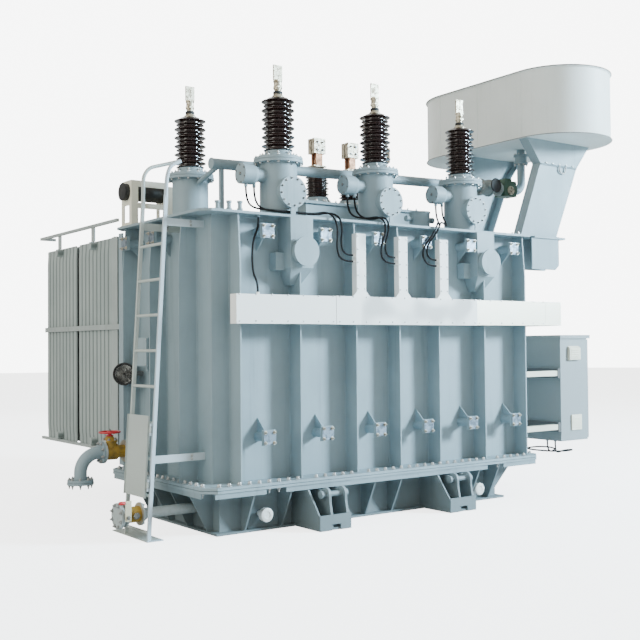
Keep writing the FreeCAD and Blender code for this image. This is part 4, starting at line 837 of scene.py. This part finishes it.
dress(casting("drain_casting", -2.206, -2.010), "drain_valve")
dress(casting("filling_casting", -2.390, -2.268), "lower_valve")
dress(tank_grey, "drain_elbow")
DRAIN_X, DRAIN_Y, DRAIN_Z = -2.150, 0.450, 0.645
FILL_Y, FILL_Z = -0.400, 0.204
flange_bolts = []
for x, out in ((-2.242, -1), (-1.974, 1)):
    spots = circle((x, DRAIN_Y, DRAIN_Z), 0.084, 8, "x", 0.4)
    flange_bolts.append(scatter(bolt(0.013, 0.006), spots, (out, 0, 0)))
for x, r, out in ((-2.466, 0.092, -1), (-2.252, 0.082, 1)):
    spots = circle((x, FILL_Y, FILL_Z), r, 8, "x", 0.4)
    flange_bolts.append(scatter(bolt(0.012, 0.008), spots, (out, 0, 0)))
blank_holes = circle((-2.432, DRAIN_Y, 0.0), 0.097, 8, "z", math.pi / 8)
flange_bolts.append(scatter(bolt(0.013, 0.006), blank_holes + (0, 0, 0.415)))
flange_bolts.append(scatter(bolt(0.013, 0.018), blank_holes + (0, 0, 0.372), (0, 0, -1)))
flange_bolts.append(scatter(bolt(0.011, 0.006), circle((DRAIN_X, DRAIN_Y, 0.753), 0.060, 6, "z")))
piece("valve_flange_bolts", joined(flange_bolts), turret_zinc)
gland_nut = lathe([(0.030, 0), (0.030, 0.014), (0.026, 0.019), (0.018, 0.019), (0.015, 0.022)], 6)
piece("valve_gland_nut", scatter(gland_nut, (-2.330, -0.484, FILL_Z), (0, -1, 0)), dark_bolt)


def enamel_red():
    """Bright red dipped enamel, rubbed duller where hands turn it."""
    finish = Finish("red_enamel")
    rub = finish.noise(finish.place(), 22.0, 4.0)
    finish.set(Base_Color=finish.blend(rub.rise(0.45, 0.8), (0.50, 0.012, 0.018), (0.30, 0.02, 0.02)))
    finish.set(Roughness=0.3 + 0.3 * rub, Coat_Weight=0.3)
    return finish.bump(finish.noise(finish.place(), 200.0), 0.0005).material


red = enamel_red()
hub = np.array([DRAIN_X, DRAIN_Y, 0.825])
rim = circle(hub, 0.092, 64)
spokes = []
for turn in np.radians(72.0 * np.arange(5)):
    reach = np.linspace(0.012, 0.090, 8)
    dip = 0.008 * np.sin(np.pi * (reach - 0.012) / 0.078)
    way = hub + np.stack([reach * np.cos(turn), reach * np.sin(turn), -dip], -1)
    spokes.append(tube(way, np.linspace(0.0085, 0.0065, 8), 10))
yoke = lathe([(0.036, 0), (0.036, 0.006), (0.022, 0.011), (0.016, 0.018), (0.015, 0.0225)], 24)
piece("valve_yoke", scatter(yoke, hub - (0, 0, 0.036)), red, smooth=True)
boss = lathe([(0.018, -0.012), (0.022, -0.008), (0.022, 0.008), (0.018, 0.012), (0.012, 0.012)], 24)
rim_tube = tube(np.concatenate([rim, rim[:2]]), 0.0092, 14)
piece("wheel", joined([rim_tube, scatter(boss, hub)] + spokes), red, body="handwheel",
      stands_for=("handwheel",), smooth=True)
wheel_nut = scatter(bolt(0.011, 0.006), hub + (0, 0, 0.012))
piece("wheel_nut", wheel_nut, dark_bolt, body="handwheel")
lever_cream = powder("lever_cream", (0.66, 0.60, 0.42), (0.52, 0.47, 0.33))
dress(lever_cream, "valve_lever")
grip = lathe([(0.0122, 0.0), (0.0140, 0.003), (0.0150, 0.046), (0.0125, 0.054), (0.006, 0.058)], 24)
piece("lever_grip", scatter(grip, (-2.4515, -0.532, FILL_Z + 0.124), (-1, 0, 0)), red,
      body="valve_lever", smooth=True)
pivot_nut = scatter(bolt(0.012, 0.004), (-2.424, -0.538, FILL_Z), (0, -1, 0))
piece("lever_nut", pivot_nut, dark_bolt, body="valve_lever")

# Dial thermometer: a glazed case with a black bezel, a pale card with ticks round three quarters of a turn
# and a black pointer; beside it a small pressed terminal box with a screwed lid.
dress(powder("thermometer_case", (0.20, 0.21, 0.21), (0.15, 0.16, 0.16)), "dial_thermometer")
dress(tank_grey, "terminal_box")
dial = np.array([-1.932, 0.605, 1.349])
DIAL_TURN = math.radians(53.0)
dial_facing = np.array([-math.cos(DIAL_TURN), -math.sin(DIAL_TURN), 0.0])
dial_right = np.array([-dial_facing[1], dial_facing[0], 0.0])


def on_dial(r, turn, out):
    """Point on the dial: dial + r (cos turn) to its right + r (sin turn) up + out along its facing."""
    return dial + r * np.cos(turn) * dial_right + np.array([0.0, 0.0, r * np.sin(turn)]) + out * dial_facing


bezel = lathe([(0.088, -0.004), (0.106, -0.004), (0.108, 0.002), (0.106, 0.012), (0.098, 0.016),
               (0.090, 0.010), (0.088, 0.002)], 56)
piece("dial_bezel", scatter(bezel, dial, dial_facing), black_rubber, smooth=True)
card = lathe([(0.090, 0), (0.090, 0.002), (0.002, 0.002)], 56)
dial_white = plastic("dial_card", (0.50, 0.50, 0.47), (0.38, 0.37, 0.34), 0.2)
piece("dial_card", scatter(card, dial, dial_facing), dial_white)
marks = []
for i, turn in enumerate(np.linspace(-0.25 * np.pi, 1.25 * np.pi, 31)):
    inner, thick = (0.073, 0.0011) if i % 5 else (0.066, 0.0019)
    marks.append(tube([on_dial(r, turn, 0.0022) for r in (inner, 0.080)], thick, 6))
pointer = [on_dial(r, 2.1, 0.004) for r in (-0.016, 0.0, 0.030, 0.070)]
marks.append(tube(pointer, [0.003, 0.0032, 0.0024, 0.0006], 6))
pin = lathe([(0.008, 0), (0.008, 0.004), (0.004, 0.006)], 16)
marks.append(scatter(pin, dial + 0.002 * dial_facing, dial_facing))
piece("dial_marks", joined(marks), black_rubber)
lid_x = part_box("terminal_box")[0].x - 0.012
lid = block((lid_x, 0.278, 1.426), (lid_x + 0.014, 0.506, 1.684), 0.003)
piece("terminal_box_lid", lid, tank_grey)
corners = [(lid_x, y, z) for y in (0.290, 0.494) for z in (1.438, 1.672)]
piece("terminal_box_screws", scatter(screw, corners, (-1, 0, 0)), bolt_zinc, smooth=True)

# Rear cradle: plate frame in cream powder coat, bolted to the cover, that holds a steel pipe wrapped in black
# bitumen tape with moulded caps on its ends.
dress(cream, "rear_cradle")


def wrapped():
    """Bitumen wrap: black tape with a helical lap and a chalky bloom."""
    finish = Finish("bitumen_wrap")
    place = finish.place()
    x, y, z = finish.split(place)
    lap = finish.node("ShaderNodeMath", {"operation": "FRACT"}, {0: x * 14.0 + z * 3.0})
    bloom = finish.noise(place, 18.0, 5.0)
    finish.set(Base_Color=finish.blend(bloom.rise(0.5, 0.8), (0.012, 0.012, 0.011), (0.06, 0.058, 0.052)))
    finish.set(Roughness=0.35 + 0.35 * bloom)
    return finish.bump(lap, 0.0015).material


dress(wrapped(), "cradle_tube")
cap = lathe([(0.082, 0), (0.086, 0.004), (0.086, 0.014), (0.070, 0.022), (0.020, 0.022)], 40)
piece("cradle_tube_end", scatter(cap, (-1.850, 0.791, 3.107), (-1, 0, 0)), black_rubber,
      smooth=True)
nuts = [(x, y, 2.787) for x in (-1.72, -1.60, -1.50) for y in (0.706, 0.874)]
piece("cradle_bolts", scatter(bolt(0.011, 0.008), nuts), bolt_zinc)
dress(tank_grey, "cover_pockets")


# Radiators: pressed steel plates, two seam-welded sheets blown into nine upright flutes, stacked on round
# headers. Flow-coated in the tank's grey; the valleys between the flutes are darkened with painted shade.
FLUTES = 9


def flow_coated(name, y0, y1):
    """Thin grey enamel; the valleys, where sin(9 pi u) crosses nought, are darkened with painted shade, and
    the run-off streaks are darker too."""
    finish = Finish(name)
    place = finish.place()
    x, y, z = finish.split(place)
    angle = (y - y0) * (FLUTES * math.pi / (y1 - y0))
    wave = finish.node("ShaderNodeMath", {"operation": "SINE"}, {0: angle})
    valley_shade = 1.0 - finish.node("ShaderNodeMath", {"operation": "ABSOLUTE"}, {0: wave})
    runs = finish.noise(finish.stretch(place, (14.0, 14.0, 0.8)), 1.0, 5.0, 0.62)
    tone = finish.noise(place, 1.4, 5.0, 0.6)
    colour = finish.blend(tone.rise(0.36, 0.68), (0.335, 0.385, 0.370), (0.285, 0.335, 0.325))
    # Painted shade: the valleys are blended towards a dark grey.
    colour = finish.blend(valley_shade.rise(0.30, 0.85) * 0.85, colour, (0.095, 0.120, 0.118))
    colour = finish.blend(runs.rise(0.52, 0.78) * 0.35, colour, (0.16, 0.18, 0.17))
    finish.set(Base_Color=colour, Roughness=0.42 + 0.22 * tone)
    return finish.bump(finish.noise(place, 300.0, 2.0), 0.0006).material


def fluted_plates(x_list, y0, y1, z0, z1):
    """Plates across X. Round each plate u runs over the front sheet and back over the rear one; the sheets
    stand off the middle by 3 mm + 12 mm |sin(9 pi u)|^0.7, and the flutes fade out near the headers. The
    plate draws in by 12 mm at its top and bottom edges."""
    steps = 8 * FLUTES
    across = np.linspace(0.0, 1.0, steps + 1)
    u = np.concatenate([across, across[-2:0:-1]])
    side = np.concatenate([-np.ones(steps + 1), np.ones(steps - 1)])
    side[[0, steps]] = 0.0
    rise = np.array([0.0, 0.010, 0.060, 0.110, 0.150])
    height = np.concatenate([rise, (z1 - z0) - rise[::-1]])
    from_end = np.minimum(height, (z1 - z0) - height)
    mid, half = (y0 + y1) / 2, (y1 - y0) / 2
    width = half - 0.012 * (from_end < 0.005)
    fade = np.clip((from_end - 0.055) / 0.080, 0.0, 1.0)
    swell = np.abs(np.sin(FLUTES * np.pi * u)) ** 0.7
    y = mid + width[:, None] * (2 * u - 1)[None]
    out = side[None] * (0.003 + 0.012 * fade[:, None] * swell[None])
    z = z0 + np.broadcast_to(height[:, None], y.shape)
    points, faces = skin(np.stack([out, y, z], -1))
    return joined([(points + (x, 0.0, 0.0), faces) for x in x_list])


flow_coat = paint("radiator_enamel", (0.36, 0.40, 0.39), (0.30, 0.34, 0.33), (0.16, 0.18, 0.17), 0.46, 0.35)
dress(flow_coat, "radiator_mains", "radiator_frame")
BANKS, BANK_PITCH, BANK_X = 4, 0.930, -1.824
PLATES, PLATE_PITCH = 16, 0.052
HEADERS_Z = (0.645, 2.645)
bank_starts = BANK_X + BANK_PITCH * np.arange(BANKS)
plate_places = [x + i * PLATE_PITCH for x in bank_starts for i in range(PLATES)]
for row, node in enumerate(("radiator_row_1", "radiator_row_2"), 1):
    low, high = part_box(node)
    y = (low.y + high.y) / 2
    shapes = [fluted_plates(plate_places, low.y, high.y, 0.600, 2.690)]
    for x in bank_starts:
        for z in HEADERS_Z:
            pipe = [(x + reach, y, z) for reach in (-0.066, -0.05, 0.84, 0.856)]
            shapes.append(tube(pipe, [0.038, 0.042, 0.042, 0.038], 20))
    coat = flow_coated("flow_coat_%d" % row, low.y, high.y)
    piece("radiator_plates_%d" % row, joined(shapes), coat, stands_for=(node,), smooth=True)
